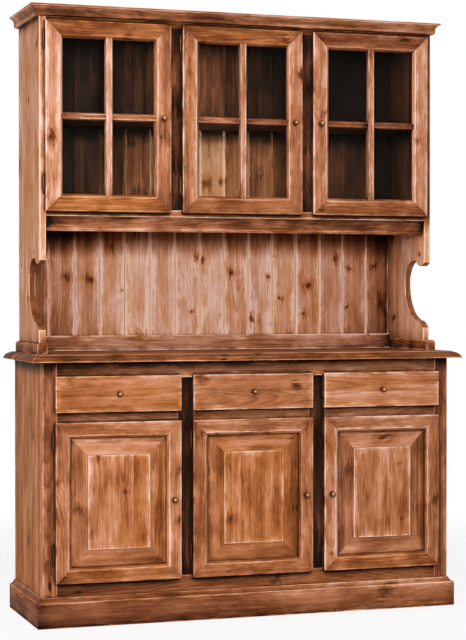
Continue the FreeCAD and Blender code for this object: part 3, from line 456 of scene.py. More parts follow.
        # Dust and painted shade together, less where edges are worn.
        dust_and_painted_shade = self.hollow_dust_and_shade * 0.6 + corner * 0.9 + self.painted_overhang_shadow() * sheltered
        self.dust_and_painted_shade = dust_and_painted_shade * (1 - self.worn * 0.75)

    def painted_overhang_shadow(self):
        """How far a point lies under something close that stands out over it, from 0 to 1: where
        the painted shadow falls.
        """
        x, y, z = self.recipe.node("NewGeometry", {}, (), "Normal").split()
        # The occlusion is aimed upward, so that whatever stands above darkens the wood: a painted
        # shadow.
        raised = z + (1 - z * z) * 1.3
        aim = self.recipe.vector_maths("NORMALIZE", self.recipe.vector(x, y, raised))
        return self.recipe.hidden(OVERHANG_SHADOW_REACH, Normal=aim).ramp(0.38, 0.85)

    def shade(self, wear_depth, dust_and_shade_depth):
        """How dark the wood is, painted shade included, from 0, bare, to 1, black."""
        shade = self.tone + (self.late_wood - 0.3) * (self.year * 0.13 + 0.02)
        shade = shade + self.fibre * 0.14 + self.streak * 0.34 + self.strip * 0.1
        shade = shade + self.blotch * 0.5 + self.brushed * 0.25 + self.speck * 0.1
        shade = shade + self.knot_halo * (self.streak * 1.2 + self.brushed * 0.6 + 0.13)
        core = (self.ring - 0.5) * 0.1 + self.knot_heart * 0.16 + 0.62
        core = core + self.blotch * 0.5 + self.streak * 0.5
        shade = shade + (core.highest(shade) - shade) * self.knot
        # Here dust and the painted shade of hollows, corners and overhangs darken the wood.
        shade = shade + self.soaked * 0.12 + self.dust_and_painted_shade * dust_and_shade_depth + self.joint * 0.3
        contrast = (1.25 - self.tone) ** 2 * 1.15
        return shade - (self.worn + self.rubbed * 0.35) * wear_depth * contrast

    def tinted(self, stain):
        """The stain's colour, rosy in some places and rusty in others."""
        rosy = self.recipe.mix(1.0, stain, ROSY, "MULTIPLY")
        rusty = self.recipe.mix(1.0, stain, RUSTY, "MULTIPLY")
        rust = self.flush + self.blotch * 1.6 + self.strip * 0.4 + self.knot_halo * 0.4
        return self.recipe.mix(rust, rosy, rusty)

    def relief(self):
        height = self.late_wood * 0.45 + self.fibre * 0.6 + self.knot * 0.6
        height = height - self.speck * 0.8 - self.worn * 0.3
        return self.recipe.bump(height, 0.4, RELIEF)

    def roughness(self):
        # The wax is rougher in the hollows, where dust lies.
        return self.fibre * 0.2 + self.blotch * 0.2 + self.worn * 0.12 + self.hollow_dust_and_shade * 0.2 + 0.47


# The second depth is how far dust and the painted shade of hollows, corners and overhangs darken
# the wood.
def pine(recipe, levels, wear_depth, dust_and_shade_depth):
    """Pine that runs through colours, evenly spaced from bare to black, as its shade does."""
    wood = Pine(recipe)
    stops = [(step / (len(levels) - 1), level) for step, level in enumerate(levels)]
    stain = recipe.node("ValToRGB", {"stops": stops}, (wood.shade(wear_depth, dust_and_shade_depth),))
    return recipe.principled(Base_Color=wood.tinted(stain), Roughness=wood.roughness(),
                             Normal=wood.relief(), IOR=WAX_IOR)


def stained_pine(recipe):
    stain = bpy.context.scene.cabinet_stain
    levels = (stain.bare, stain.pale, stain.honey, stain.brown, stain.umber, stain.black)
    return pine(recipe, levels, wear_depth=0.42, dust_and_shade_depth=0.6)


def sealed_pine(recipe):
    """Pine inside the cabinet: sealed, with hardly any stain."""
    stain = bpy.context.scene.cabinet_stain
    levels = (stain.sealed, stain.bare, stain.pale, stain.honey, stain.umber)
    return pine(recipe, levels, wear_depth=0.06, dust_and_shade_depth=0.4)


TARNISH_REACH = 6 * MILLIMETRE   # how near something makes a hollow that isn't polished
METAL_RELIEF = 0.2 * MILLIMETRE  # how high the brass and steel are roughened
GLASS_RELIEF = 2 * MILLIMETRE    # how high the waves in the glass are
GLASS_IOR = 1.08                 # low, so that the panes mirror little


def metal(recipe, bright, dull, sheen):
    """Metal, bright where it is touched and dull in its hollows."""
    place = recipe.object_place()
    cloud = recipe.noise(place, detail=4, scale=160)
    grain = recipe.noise(place, detail=2, scale=1400)
    hollow = recipe.hidden(TARNISH_REACH)
    tarnish = (hollow * 1.3 + (cloud - 0.5) * 1.1).ramp(0.1, 0.75)
    return recipe.principled(Base_Color=recipe.mix(tarnish, bright, dull),
                             Roughness=tarnish * 0.3 + cloud * 0.1 + sheen,
                             Metallic=1.0, Normal=recipe.bump(grain, 0.2, METAL_RELIEF))


def polished_brass(recipe):
    metals = bpy.context.scene.cabinet_metal
    return metal(recipe, metals.brass, metals.aged_brass, 0.2)


def dark_brass(recipe):
    brass = bpy.context.scene.cabinet_metal.aged_brass
    return metal(recipe, brass, [level * 0.45 for level in brass], 0.36)


def pin_steel(recipe):
    steel = bpy.context.scene.cabinet_metal.steel
    return metal(recipe, steel, [level * 0.5 for level in steel], 0.3)


def pane_glass(recipe):
    """Old window glass, faintly uneven, that lets the lamps through to the shelves."""
    waves = recipe.noise(recipe.object_place(), detail=1, scale=5)
    tint = bpy.context.scene.cabinet_metal.glass
    pane = recipe.principled(Base_Color=tint, Roughness=0.02, IOR=GLASS_IOR,
                             Transmission_Weight=1.0,
                             Normal=recipe.bump(waves, 0.15, GLASS_RELIEF))
    clear = recipe.node("BsdfTransparent", {}, {"Color": tint})
    shadow = recipe.node("LightPath", {}, (), "Is Shadow Ray")
    return recipe.node("MixShader", {}, (shadow, pane, clear))


# Timber

STEPS_PER_METRE = 1e6         # points that round to the same step are one point
ON_PLANE = 1e-6               # points nearer than this to a cut's plane lie on it
FLAT = math.radians(0.6)      # faces that meet at less lie in one plane
TRUE_EDGE = math.radians(28)  # faces that meet at more have an edge between them

# Cosines between an axis and a face's normal or an edge
SQUARE = 0.999                # a face looks along the axis
SIDE_FACE = 0.99              # a face is a side of its board
RUNS_ALONG = 0.9              # an edge runs along its board
END_SLOPE = 0.05, 0.95        # a face slopes towards its board's end
END_EASING = 0.3              # an easing lies round its board's end
OUTER_SIDE = 0.9              # a face looks out of the cabinet to the left or right
OUTER_BACK = 0.5              # a face looks out of it to the back

LOG_LENGTH = 40               # the boards come from this length of log,
BESIDE_HEART = 0.06           # at most so far to the left or right of its heart,
ABOVE_HEART = 0.02, 0.09      # and at least and at most so far above or below it
TONE_SPREAD = 0.04            # how much staves differ in tone,
FLUSH_SPREAD = 0.3            # how much in rust,
KNOT_SPREAD = 0.6, 1.3        # and by what factors in knots
STAVE_SPREAD = 0.12           # how far a glue line may stray, in widths of a stave
GROOVE_SHADE = 1.3            # how much more the painted shade of the bands darkens faces that slope than others


def closed_solids(mesh):
    """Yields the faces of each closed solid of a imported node, as lists of points."""
    numbers, points, corner = {}, [], []
    for vertex in mesh.vertices:
        key = tuple(round(value * STEPS_PER_METRE) for value in vertex.co)
        if key not in numbers:
            numbers[key] = len(points)
            points.append(vertex.co.copy())
        corner.append(numbers[key])
    open_edges = set()
    faces = []
    for polygon in mesh.polygons:
        loop = [corner[v] for v in polygon.vertices]
        if len(set(loop)) < 3:
            continue
        faces.append(loop)
        open_edges ^= {frozenset(edge) for edge in zip(loop, loop[1:] + loop[:1])}
        if not open_edges:
            yield [[points[v] for v in face] for face in faces]
            faces = []
    if faces:
        raise RuntimeError(f"{mesh.name} holds a solid that isn't closed")


def box_of(faces):
    """Lowest and highest corner of some faces."""
    points = [vertex.co for face in faces for vertex in face.verts]
    spans = [(min(p[axis] for p in points), max(p[axis] for p in points)) for axis in range(3)]
    return Vector([low for low, _ in spans]), Vector([high for _, high in spans])


def looks_square(face):
    """Whether a face looks along one of the three axes."""
    return max(abs(part) for part in face.normal) >= SQUARE


def regions_of(faces):
    """Groups faces that run smoothly into each other. Yields each group."""
    left = set(faces)
    while left:
        group, front = [], [left.pop()]
        while front:
            face = front.pop()
            group.append(face)
            for edge in face.edges:
                if len(edge.link_faces) == 2 and edge.calc_face_angle() < TRUE_EDGE:
                    near = left.intersection(edge.link_faces)
                    left -= near
                    front += near
        yield group


def in_turn(values, number):
    """One value for all the solids, or the one of several whose turn it is."""
    return values[number % len(values)] if isinstance(values, tuple) else values


class Look(NamedTuple):
    """How the boards of one node are stained and cut.

    A tuple of tones or flushes, or of the painted shade that a band adds, has a value for each
    solid in turn.
    """

    tones: tuple               # from 0, bare, to 1, black
    knots: float = 0.45        # share of the places for a knot that hold one
    flush: float = 0.5         # how rusty the stain is
    open_ends: bool = False    # whether the boards' ends show, or meet other boards
    mottle: float = 1.0        # how strongly the stain is blotched
    fade: float = 0.0          # what the tone gains with each metre along the boards' axis
    slopes: float = 0.0        # what faces that slope add to the tone: painted shade where more than 0, paler worn grooves where less
    end_slopes: tuple = None   # what those at the two ends add, where their grain runs across: on the panels, painted shade on the lower bevel and painted light on the upper
    grooved: bool = False      # whether the boards meet in grooves whose slopes are worn
    sheltered: float = 1.0     # how strong the painted shadow is beneath what stands out over a board
    rounding: float = 1.0      # how much wider than usual the edges are eased
    bands: tuple = ()          # (start, full, more): painted shade that inner faces gain between two heights
    slot: str = "pine"

    def of_solid(self, number):
        """The look with the values picked that are this solid's turn."""
        bands = [(start, full, in_turn(more, number)) for start, full, more in self.bands]
        return self._replace(tones=in_turn(self.tones, number), bands=bands,
                             flush=in_turn(self.flush, number))


class Board:
    """One stave of a board: which way its grain runs, and where it lay in the log."""

    def __init__(self, axes, low, high, look, rng):
        self.axes = axes
        self.bands = look.bands
        self.low, self.high = low, high
        self.centre = (low + high) / 2
        log_place = (rng.uniform(0, LOG_LENGTH), rng.uniform(-BESIDE_HEART, BESIDE_HEART),
                     rng.choice((-1, 1)) * rng.uniform(*ABOVE_HEART))
        self.shift = Vector(log_place)
        self.tone = look.tones + rng.uniform(-TONE_SPREAD, TONE_SPREAD)
        self.knots = look.knots * rng.uniform(*KNOT_SPREAD)
        self.flush = look.flush + rng.uniform(-FLUSH_SPREAD, FLUSH_SPREAD)

    def place(self, point, axes):
        """A point as its distances along the grain, across it and into the board."""
        return Vector([point[a] - self.centre[a] for a in axes]) + self.shift

    def banded_shade(self, face, height):
        """The painted shade that the bands add to the tone at a height, but not on the cabinet's
        outside.
        """
        aside = face.normal.x * self.centre.x > OUTER_SIDE * abs(self.centre.x)
        if aside or face.normal.y > OUTER_BACK:
            return 0
        strength = 1 if looks_square(face) else GROOVE_SHADE
        return strength * sum(more * min(max((height - start) / (full - start), 0), 1)
                              for start, full, more in self.bands)


class Bench:
    """Mills the boards of one CAD node into one mesh."""

    def __init__(self, node, look):
        self.node = node
        self.look = look
        self.timber = bpy.context.scene.cabinet_timber
        self.rng = random.Random(node)
        self.boards = []
        self.regions = []
        self.bm = bmesh.new()
        self.weight = self.bm.edges.layers.float.new("bevel_weight_edge")
        self.board_mark = self.bm.faces.layers.int.new("board")
        self.region_mark = self.bm.faces.layers.int.new("region")

    def add_solid(self, number, solid):
        """Brings in one solid, cuts it into staves and marks its regions, staves and edges."""
        before = set(self.bm.faces)
        self.bring_in(solid)
        faces = self.since(before)
        low, high = box_of(faces)
        axes = sorted(range(3), key=lambda axis: low[axis] - high[axis])
        self.mark_regions(faces)

        across = axes[1]
        glue_lines = self.glue_lines(low[across], high[across])
        for place in glue_lines:
            self.cut(before, across, place)
        for start, full, _ in self.look.bands:
            self.cut(before, UPRIGHT, start)
            self.cut(before, UPRIGHT, full)

        faces = self.since(before)
        self.mark_staves(faces, axes, glue_lines)
        look = self.look.of_solid(number)
        bounds = [low[across], *glue_lines, high[across]]
        for start, end in zip(bounds, bounds[1:]):
            stave_low, stave_high = low.copy(), high.copy()
            stave_low[across], stave_high[across] = start, end
            self.boards.append(Board(axes, stave_low, stave_high, look, self.rng))
        self.mark_edges(faces, *axes[:2])

    def bring_in(self, solid):
        """Makes one solid's faces, with those that lie in one plane joined."""
        corners = {tuple(point): None for face in solid for point in face}
        for key in corners:
            corners[key] = self.bm.verts.new(key)
        for face in solid:
            self.bm.faces.new([corners[tuple(point)] for point in face])
        verts = list(corners.values())
        edges = dict.fromkeys(edge for vertex in verts for edge in vertex.link_edges)
        bmesh.ops.dissolve_limit(self.bm, angle_limit=FLAT, verts=verts, edges=list(edges))

    def since(self, before):
        """The faces that weren't there before."""
        return [face for face in self.bm.faces if face not in before]

    def glue_lines(self, start, end):
        """Where a wide board is glued up."""
        width = end - start
        if width <= self.timber.widest_board:
            return []
        count = math.ceil(width / self.timber.stave)
        return [start + width * (step + self.rng.uniform(-STAVE_SPREAD, STAVE_SPREAD)) / count
                for step in range(1, count)]

    def cut(self, before, axis, place):
        """Cuts the faces that weren't there before along a plane, without parting them."""
        faces = self.since(before)
        edges = dict.fromkeys(edge for face in faces for edge in face.edges)
        verts = dict.fromkeys(vertex for face in faces for vertex in face.verts)
        normal = Vector([a == axis for a in range(3)])
        bmesh.ops.bisect_plane(self.bm, geom=[*verts, *edges, *faces], dist=ON_PLANE,
                               plane_co=normal * place, plane_no=normal)

    def mark_regions(self, faces):
        """Numbers the surfaces that run smoothly on, and keeps the box of each."""
        for region in regions_of(faces):
            for face in region:
                face[self.region_mark] = len(self.regions)
            self.regions.append(box_of(region))

    def mark_staves(self, faces, axes, glue_lines):
        """Numbers the stave of each face. A slope at an end is one piece, the first stave's."""
        for face in faces:
            middle = face.calc_center_median()[axes[1]]
            stave = sum(middle > place for place in glue_lines)
            if self.slopes_at_end(face, axes[0]):
                stave = 0
            face[self.board_mark] = len(self.boards) + stave

    def mark_edges(self, faces, along, across):
        """Weighs each true edge for the easing.

        Ends that meet another board are eased less, and the sides of grooved boards not at all.
        """
        joint = self.timber.joint_arris / self.timber.arris
        for edge in {edge for face in faces for edge in face.edges}:
            if len(edge.link_faces) != 2 or edge.calc_face_angle() < TRUE_EDGE:
                continue
            at_side = any(abs(face.normal[across]) > SIDE_FACE for face in edge.link_faces)
            if self.look.grooved and at_side:
                continue
            run = (edge.verts[0].co - edge.verts[1].co).normalized()
            at_end = abs(run[along]) < RUNS_ALONG and not self.look.open_ends
            edge[self.weight] = joint if at_end else 1

    def eased(self):
        """The boards' mesh with its edges eased. The easing's faces have material 1."""
        mesh = bpy.data.meshes.new(self.node + "_blank")
        self.bm.to_mesh(mesh)
        self.bm.free()
        for _ in range(2):
            mesh.materials.append(None)
        blank = put_in_scene(self.node + "_blank", mesh)
        bevel = blank.modifiers.new("easing", "BEVEL")
        bevel.width = self.timber.arris * self.look.rounding
        bevel.segments = 2
        bevel.limit_method = "WEIGHT"
        bevel.use_clamp_overlap = False
        bevel.material = 1
        depsgraph = bpy.context.evaluated_depsgraph_get()
        made = bpy.data.meshes.new_from_object(blank.evaluated_get(depsgraph))
        bpy.data.objects.remove(blank)
        bpy.data.meshes.remove(mesh)
        return made

    def slopes_at_end(self, face, along):
        """Whether a face slopes towards the board's end and has its grain across it there."""
        least, most = END_SLOPE
        return (self.look.end_slopes is not None and not face.material_index
                and least < abs(face.normal[along]) < most)

    def slopes(self, face):
        """Whether a face that isn't an eased edge looks along none of the three axes."""
        return not face.material_index and not looks_square(face)

    def tone_of(self, face, board):
        """The board's tone, with what slopes add to it."""
        if self.slopes_at_end(face, board.axes[0]):
            return board.tone + self.look.end_slopes[face.normal[board.axes[0]] > 0]
        return board.tone + self.look.slopes * self.slopes(face)

    def arris_of(self, face, board):
        """1 on an eased edge or a worn groove, -1 in a hollow or at a joint, 0 elsewhere."""
        if not face.material_index:
            return self.look.grooved and self.slopes(face)
        hollow = sum(edge.calc_face_angle_signed(0) for edge in face.edges) < 0
        meets = abs(face.normal[board.axes[0]]) > END_EASING and not self.look.open_ends
        return -1 if hollow or meets else 1

    def facts(self, face, board, region):
        """Yields each corner of a face with what the shader has to know there, by name."""
        low, high = region
        along, across, depth = board.axes
        narrow = sorted(high - low)[1] < self.timber.moulding
        tone = self.tone_of(face, board)
        arris = self.arris_of(face, board)
        axes = (across, along, depth) if self.slopes_at_end(face, along) else board.axes
        for loop in face.loops:
            point = loop.vert.co
            # The tone, with the painted shade that the bands add at this height.
            shade = tone + self.look.fade * point[along] + board.banded_shade(face, point[UPRIGHT])
            yield loop, {
                "grain_place": board.place(point, axes),
                "board_mood": (shade, board.knots, board.flush),
                "edge_low": [max(point[a] - low[a], 0) + narrow for a in board.axes],
                "edge_high": [max(high[a] - point[a], 0) + narrow for a in board.axes],
                "board_ends": (point[along] - board.low[along], board.high[along] - point[along],
                               self.look.open_ends),
                "arris": arris,
                "mottle": self.look.mottle,
                "sheltered": self.look.sheltered,
            }

    def piece(self):
        """The finished object, with the facts that its shader needs on it."""
        mesh = self.eased()
        bm = bmesh.new()
        bm.from_mesh(mesh)
        vectors, floats = bm.loops.layers.float_vector, bm.loops.layers.float
        layers = {name: vectors.new(name) for name in
                  ("grain_place", "board_mood", "edge_low", "edge_high", "board_ends")}
        layers |= {name: floats.new(name) for name in ("arris", "mottle", "sheltered")}
        board_mark = bm.faces.layers.int["board"]
        region_mark = bm.faces.layers.int["region"]
        for face in bm.faces:
            board = self.boards[face[board_mark]]
            for loop, facts in self.facts(face, board, self.regions[face[region_mark]]):
                for name, value in facts.items():
                    loop[layers[name]] = value
            face.smooth = True
            face.material_index = 0
        bm.to_mesh(mesh)
        bm.free()
        for name in ("board", "region", "bevel_weight_edge"):
            mesh.attributes.remove(mesh.attributes[name])
        mesh.materials.clear()
        piece = put_in_scene(self.node + "_boards", mesh)
        piece.modifiers.new("even shading", "WEIGHTED_NORMAL").weight = 80
        return piece


def timber(node, *tones, **look):
    """Makes one CAD node's boards, with the Look that is given, and lets them stand for it."""
    cad = frame["nodes"][node]
    look = Look(tones, **look)
    bench = Bench(node, look)
    for number, solid in enumerate(closed_solids(cad.data)):
        bench.add_solid(number, solid)
    piece = bench.piece()
    piece.data.materials.append(finish(stained_pine if look.slot == "pine" else sealed_pine))
    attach(piece, cad["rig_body"])
    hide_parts(node)


def dress(node, cook):
    """Gives a CAD node that keeps its shape a finish."""
    mesh = frame["nodes"][node].data
    mesh.materials.clear()
    mesh.materials.append(finish(cook))


# Pieces


class CABINET_OT_base_carcass(Operator):
    """Builds the base's sides, frame, floor, dividers, back and plinth"""

    bl_idname = "cabinet.base_carcass"
    bl_label = "Base carcass"

    def execute(self, context):
        stain = context.scene.cabinet_stain
        outer, inner = stain.frame_tone, stain.post_tone
        timber("base_sides", 0.43, knots=0.35, flush=1.1)
        timber("face_frame_stiles", outer, outer - 0.02, inner, inner,
               flush=(0.3, -0.5, 0.3, 0.3), mottle=1.5)
        timber("face_frame_rails", 0.31, 0.44, 0.26, 0.26, 0.26, flush=0.4, fade=-0.14)
        timber("plinth", 0.55, 0.56, 0.5, knots=0.25, flush=0.25, fade=-0.13)
        for node in ("base_bottom", "base_dividers", "base_back"):
            timber(node, 0.35, slot="inner_pine")
        return {"FINISHED"}


class CABINET_OT_worktop(Operator):
    """Builds the worktop"""

    bl_idname = "cabinet.worktop"
    bl_label = "Worktop"

    def execute(self, context):
        # The slopes of its moulded edge are darker: painted shade.
        timber("worktop", 0.57, flush=0.55, open_ends=True, slopes=0.11)
        return {"FINISHED"}


class CABINET_OT_inside(Operator):
    """Builds the base's shelves, the drawers' runners and the shelf pins"""

    bl_idname = "cabinet.inside"
    bl_label = "Shelves and runners"

    def execute(self, context):
        timber("base_shelves", 0.3, open_ends=True, slot="inner_pine")
        timber("drawer_runners", 0.3, knots=0.1, open_ends=True, slot="inner_pine")
        dress("shelf_pins", pin_steel)
        return {"FINISHED"}


class CABINET_OT_drawers(Operator):
    """Builds the three drawers"""

    bl_idname = "cabinet.drawers"
    bl_label = "Drawers"

    def execute(self, context):
        stain = context.scene.cabinet_stain
        for side, more, flush in zip(SIDES, (0.02, 0.1, -0.03), (0.4, 0, 0)):
            timber(f"drawer_{side}_front", stain.face_tone + more, knots=0.3, flush=flush,
                   open_ends=True)
            timber(f"drawer_{side}_box", 0.25, knots=0.2, open_ends=True, slot="inner_pine")
        return {"FINISHED"}


# Each panelled door's left and right stile, lower and upper rail
DOOR_TONES = ((0.51, 0.42, 0.54, 0.45), (0.57, 0.52, 0.49, 0.45), (0.44, 0.51, 0.49, 0.46))
DOOR_FLUSHES = ((0.4, 0.1, 0.9, 0.4), (0.3, 0.1, 0.5, -0.1), (-0.2, 0.3, 0.5, 0.0))
PANEL_TONES = (0.44, 0.46, 0.41)
# Side bevels are darker through slopes. Through end_slopes, lower bevels are darker and the first
# panel's upper bevel is paler: painted shade and a painted highlight.
PANEL_LOOKS = (
    {"slopes": 0.07, "end_slopes": (0.05, -0.11), "flush": 0.55},
    {"slopes": 0.09, "end_slopes": (0.08, 0.0), "flush": 0.8},
    {"slopes": 0.13, "end_slopes": (0.04, 0.0), "flush": 0.3},
)


class CABINET_OT_panelled_doors(Operator):
    """Builds the base's three doors, each a mitred frame round a raised panel"""

    bl_idname = "cabinet.panelled_doors"
    bl_label = "Panelled doors"

    def execute(self, context):
        for side, tones, flushes, panel_tone, panel_look in zip(
                SIDES, DOOR_TONES, DOOR_FLUSHES, PANEL_TONES, PANEL_LOOKS):
            timber(f"base_door_{side}_frame", *tones, knots=0.4, flush=flushes, mottle=1.2)
            timber(f"base_door_{side}_panel", panel_tone, knots=0.35, mottle=1.4,
                   open_ends=True, **panel_look)
        return {"FINISHED"}


BACK_BOARDS = 15
NICHE_SHADE = 90 * MILLIMETRE   # how far below the apron's foot the back boards begin to get its painted shadow
SHELF_SHADE = 20 * MILLIMETRE   # how far below the shelf's top the painted shade of the upper cupboard begins


def blended(*stops):
    """Values for the back boards from left to right, between evenly spaced stops."""
    values = []
    for board in range(BACK_BOARDS):
        step, part = divmod(board / (BACK_BOARDS - 1) * (len(stops) - 1), 1)
        step = int(step)
        following = min(step + 1, len(stops) - 1)
        values.append(stops[step] * (1 - part) + stops[following] * part)
    return tuple(values)


class CABINET_OT_hutch(Operator):
    """Builds the hutch: feet, sides, top, floor and shelf, posts, rails, apron and back"""

    bl_idname = "cabinet.hutch"
    bl_label = "Hutch"

    def execute(self, context):
        posts = context.scene.cabinet_stain.post_tone - 0.17
        niche_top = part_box("hutch_apron")[0][UPRIGHT]
        floor_top, shelf_top = (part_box(node)[1][UPRIGHT] for node in
                                ("hutch_bottom", "hutch_shelf"))
        # The scrolls' sloping faces are darker: painted shade. The band darkens the right side's
        # front edge and inner face beside and behind the glazed doors: painted shade.
        timber("hutch_sides", 0.28, 0.2, flush=(0.6, 0.4), slopes=0.35, rounding=2,
               bands=((niche_top, floor_top, (0, 0.5)),))
        timber("hutch_feet", 0.52, open_ends=True)
        timber("hutch_posts", posts, flush=0.3, mottle=2)
        # The top rail behind the doors' tops is dark: painted shade.
        timber("hutch_top_rail", 0.71, flush=0.8)
        timber("hutch_apron", 0.6, flush=0.35, mottle=1.8, fade=0.07, sheltered=0)
        timber("hutch_bottom", 0.42)
        # The top and the shelf inside the glazed cupboard are dark: painted shade.
        timber("hutch_top", 0.8)
        timber("hutch_shelf", 0.8)
        # The back boards are darker at both ends, beside the sides: painted shade. The bands paint
        # the apron's shadow, then the shade of the closed cupboard, and more shade above the shelf.
        timber("hutch_back_boards", *blended(0.4, 0.12, 0.17, 0.2, 0.38), knots=0.95,
               flush=blended(-0.2, 0.1, 0.25, 0.1, 0), slopes=-0.3, grooved=True, bands=(
                   (niche_top - NICHE_SHADE, niche_top, blended(0.48, 0.34, 0.32, 0.3)),
                   (niche_top, floor_top, blended(0.2, 0.2, -0.14, 0.25, 0.15)),
                   (shelf_top - SHELF_SHADE, shelf_top, blended(0.12, 0.2, 0.36, 0.24, 0.2))))
        timber("hutch_back_rail", 0.3, flush=-0.1, mottle=1.6)
        return {"FINISHED"}


class CABINET_OT_cornice(Operator):
    """Builds the cornice"""

    bl_idname = "cabinet.cornice"
    bl_label = "Cornice"

    def execute(self, context):
        timber("cornice", 0.43, knots=0.3, flush=-0.2, mottle=1.5, fade=-0.16)
        return {"FINISHED"}


GLAZED_STILES = ((0.3, 0.54), (0.45, 0.42), (0.36, 0.32))  # tones, left and right
GLAZED_FLUSHES = ((-0.3, 0.9), (-0.6, 0.6), (-0.7, 0.4))  # of the stiles and the rails
GLAZED_BARS = ((0.36, 0.46), (0.35, 0.64), (0.41, 0.64))  # tones, upright and level


class CABINET_OT_glazed_doors(Operator):
    """Builds the hutch's three glazed doors and their panes"""

    bl_idname = "cabinet.glazed_doors"
    bl_label = "Glazed doors"

    def execute(self, context):
        for side, stiles, (rosy, rusty), (upright, level) in zip(
                SIDES, GLAZED_STILES, GLAZED_FLUSHES, GLAZED_BARS):
            timber(f"glass_door_{side}_frame", *stiles, 0.54, 0.58, knots=0.4,
                   flush=(rosy, rosy, rusty, rusty), mottle=1.2)
            beads = (level,) * 4
            timber(f"glass_door_{side}_bars", upright, level, level, *beads, knots=0.1,
                   flush=(-0.8, 0, 0, 0, 0, 0, 0))
            dress(f"glass_door_{side}_glass", pane_glass)
        return {"FINISHED"}


class CABINET_OT_fittings(Operator):
    """Finishes the knobs and the hinges"""

    bl_idname = "cabinet.fittings"
    bl_label = "Knobs and hinges"

    def execute(self, context):
        for side in SIDES:
            for front in ("drawer", "base_door", "glass_door"):
                dress(f"{front}_{side}_knob", polished_brass)
            for front in ("base_door", "glass_door"):
                dress(f"{front}_{side}_hinges", dark_brass)
        dress("hinge_pins", dark_brass)
        return {"FINISHED"}


# Stage

FLOOR_RADIUS = 3.6
FLOOR_FADE = 1.4, 3.4  # how far out the floor begins to fade, and is gone
FLOOR_LIFT = 0.86  # how much of the white that the camera sees there is added

PHOTO_HEIGHT = 640  # in pixels
CAMERA_PLACE = (-2.08, -6.1332, 1.1144)
CAMERA_TURN = (90 - 0.797, 0.016, -18.709)  # in degrees
FOCAL_LENGTH = 1816.2611  # in the photograph's pixels
SENSOR = 36.0

CABINET_HEART = Vector((0, -0.1, 1.1))
KEY_TURN, KEY_RISE = 17, 11  # in degrees, to the left of the front and up
KEY_DISTANCE, KEY_SIZE = 5.0, 1.1
SIDE_PLACE, SIDE_SIZE = (-4.2, -1.2, 1.8), 2.4
TOP_PLACE, TOP_SIZE = (-0.6, -2.2, 4.6), 2.0


def floor_finish(recipe):
    """A pale floor that takes shadows near the cabinet and fades to the backdrop's white."""
    studio = bpy.context.scene.cabinet_studio
    place = recipe.object_place()
    reach = recipe.vector_maths("LENGTH", place)
    cloud = recipe.noise(place, detail=2, scale=2)
    floor = recipe.principled(Base_Color=recipe.mix(cloud * 0.04, studio.floor, WHITE),
                              Roughness=0.6)
    white = recipe.node("Emission", {}, {"Color": WHITE, "Strength": 1.0})
    seen = recipe.node("LightPath", {}, (), "Is Camera Ray")
    lifted = recipe.node("MixShader", {}, (seen * FLOOR_LIFT, floor, white))
    beyond = recipe.node("BsdfTransparent", {}, ())
    return recipe.node("MixShader", {}, (reach.ramp(*FLOOR_FADE), lifted, beyond))


def lay_floor():
    """A round floor that the cabinet stands on."""
    bm = bmesh.new()
    bmesh.ops.create_circle(bm, cap_ends=True, segments=96, radius=FLOOR_RADIUS)
    mesh = bpy.data.meshes.new("floor")
    bm.to_mesh(mesh)
    bm.free()
    floor = put_in_scene("floor", mesh)
    floor.location = (0, 0, CAD_BOX[0][UPRIGHT])
    mesh.materials.append(finish(floor_finish))
    floor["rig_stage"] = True


def hang_backdrop():
    """Surroundings that look white and give a little light."""
    sky = bpy.context.scene.cabinet_studio.sky
    world = bpy.data.worlds.new("surroundings")
    bpy.context.scene.world = world
    world.use_nodes = True
    recipe = Recipe(world.node_tree)
    rays = recipe.node("LightPath", {}, ()).socket.node
    plain = Field(recipe, rays.outputs["Is Camera Ray"])
    for kind in ("Is Glossy Ray", "Is Transmission Ray"):
        plain = plain.highest(Field(recipe, rays.outputs[kind]))
    strength = plain * (1 - sky) + sky
    backdrop = recipe.node("Background", {}, {"Color": WHITE, "Strength": strength})
    recipe.node("OutputWorld", {}, {"Surface": backdrop})


def lamp(name, place, size, energy):
    """A soft square lamp that faces the cabinet."""
    data = bpy.data.lights.new(name, "AREA")
    data.shape = "SQUARE"
    data.size = size
    data.energy = energy
    made = put_in_scene(name, data)
    made.location = place
    made.rotation_euler = (CABINET_HEART - Vector(place)).to_track_quat("-Z", "Y").to_euler()


def key_place():
    turn, rise = math.radians(KEY_TURN), math.radians(KEY_RISE)
    direction = Vector((-math.sin(turn) * math.cos(rise), -math.cos(turn) * math.cos(rise),
                        math.sin(rise)))
    return CABINET_HEART + direction * KEY_DISTANCE


def set_camera():
    """The camera, where the photograph was taken from."""
    data = bpy.data.cameras.new("camera")
    data.sensor_width = SENSOR
    data.lens = FOCAL_LENGTH * SENSOR / PHOTO_HEIGHT
    camera = put_in_scene("camera", data)
    camera.location = CAMERA_PLACE
    camera.rotation_euler = [math.radians(angle) for angle in CAMERA_TURN]
    bpy.context.scene.camera = camera


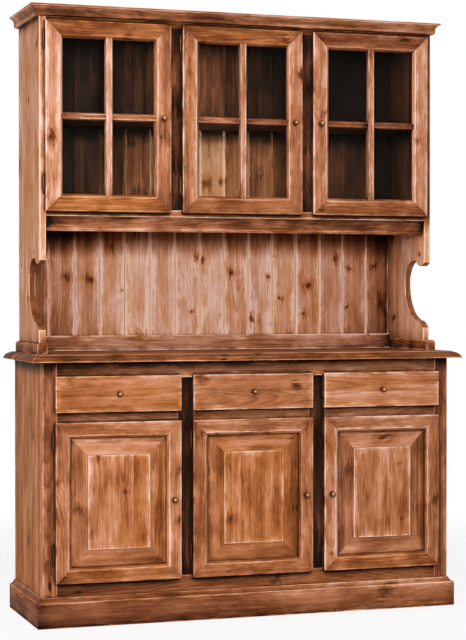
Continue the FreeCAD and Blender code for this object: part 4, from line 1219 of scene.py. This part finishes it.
class CABINET_OT_stage(Operator):
    """Sets up the floor, the backdrop, the lamps and the camera"""

    bl_idname = "cabinet.stage"
    bl_label = "Stage"

    def execute(self, context):
        studio = context.scene.cabinet_studio
        context.scene.view_settings.view_transform = "Standard"
        lay_floor()
        hang_backdrop()
        lamp("key light", key_place(), KEY_SIZE, studio.key)
        lamp("side light", SIDE_PLACE, SIDE_SIZE, studio.fill)
        lamp("top light", TOP_PLACE, TOP_SIZE, studio.top)
        set_camera()
        return {"FINISHED"}


# Add-on

STEPS = (
    CABINET_OT_base_carcass,
    CABINET_OT_worktop,
    CABINET_OT_inside,
    CABINET_OT_drawers,
    CABINET_OT_panelled_doors,
    CABINET_OT_hutch,
    CABINET_OT_cornice,
    CABINET_OT_glazed_doors,
    CABINET_OT_fittings,
    CABINET_OT_stage,
)
SETTINGS = {
    "cabinet_timber": CabinetTimber,
    "cabinet_stain": CabinetStain,
    "cabinet_metal": CabinetMetal,
    "cabinet_studio": CabinetStudio,
}


class CABINET_PT_sidebar(Panel):
    """Lists the cabinet's settings and steps in the sidebar"""

    bl_label = "Display cabinet"
    bl_idname = "CABINET_PT_sidebar"
    bl_space_type = "VIEW_3D"
    bl_region_type = "UI"
    bl_category = "Cabinet"

    def draw(self, context):
        for name, group in SETTINGS.items():
            box = self.layout.box()
            for setting in group.__annotations__:
                box.prop(getattr(context.scene, name), setting)
        for step in STEPS:
            self.layout.operator(step.bl_idname)


def register():
    for group in (*SETTINGS.values(), *STEPS, CABINET_PT_sidebar):
        bpy.utils.register_class(group)
    for name, group in SETTINGS.items():
        setattr(bpy.types.Scene, name, PointerProperty(type=group))


def unregister():
    for name in SETTINGS:
        delattr(bpy.types.Scene, name)
    for group in (CABINET_PT_sidebar, *reversed(STEPS), *SETTINGS.values()):
        bpy.utils.unregister_class(group)


def main():
    register()
    for step in STEPS:
        group, name = step.bl_idname.split(".")
        getattr(getattr(bpy.ops, group), name)()
    boxes = {"cad": CAD_BOX, "visual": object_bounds()}
    {name: [list(corner) for corner in box] for name, box in boxes.items()}


if __name__ == "__main__":
    main()
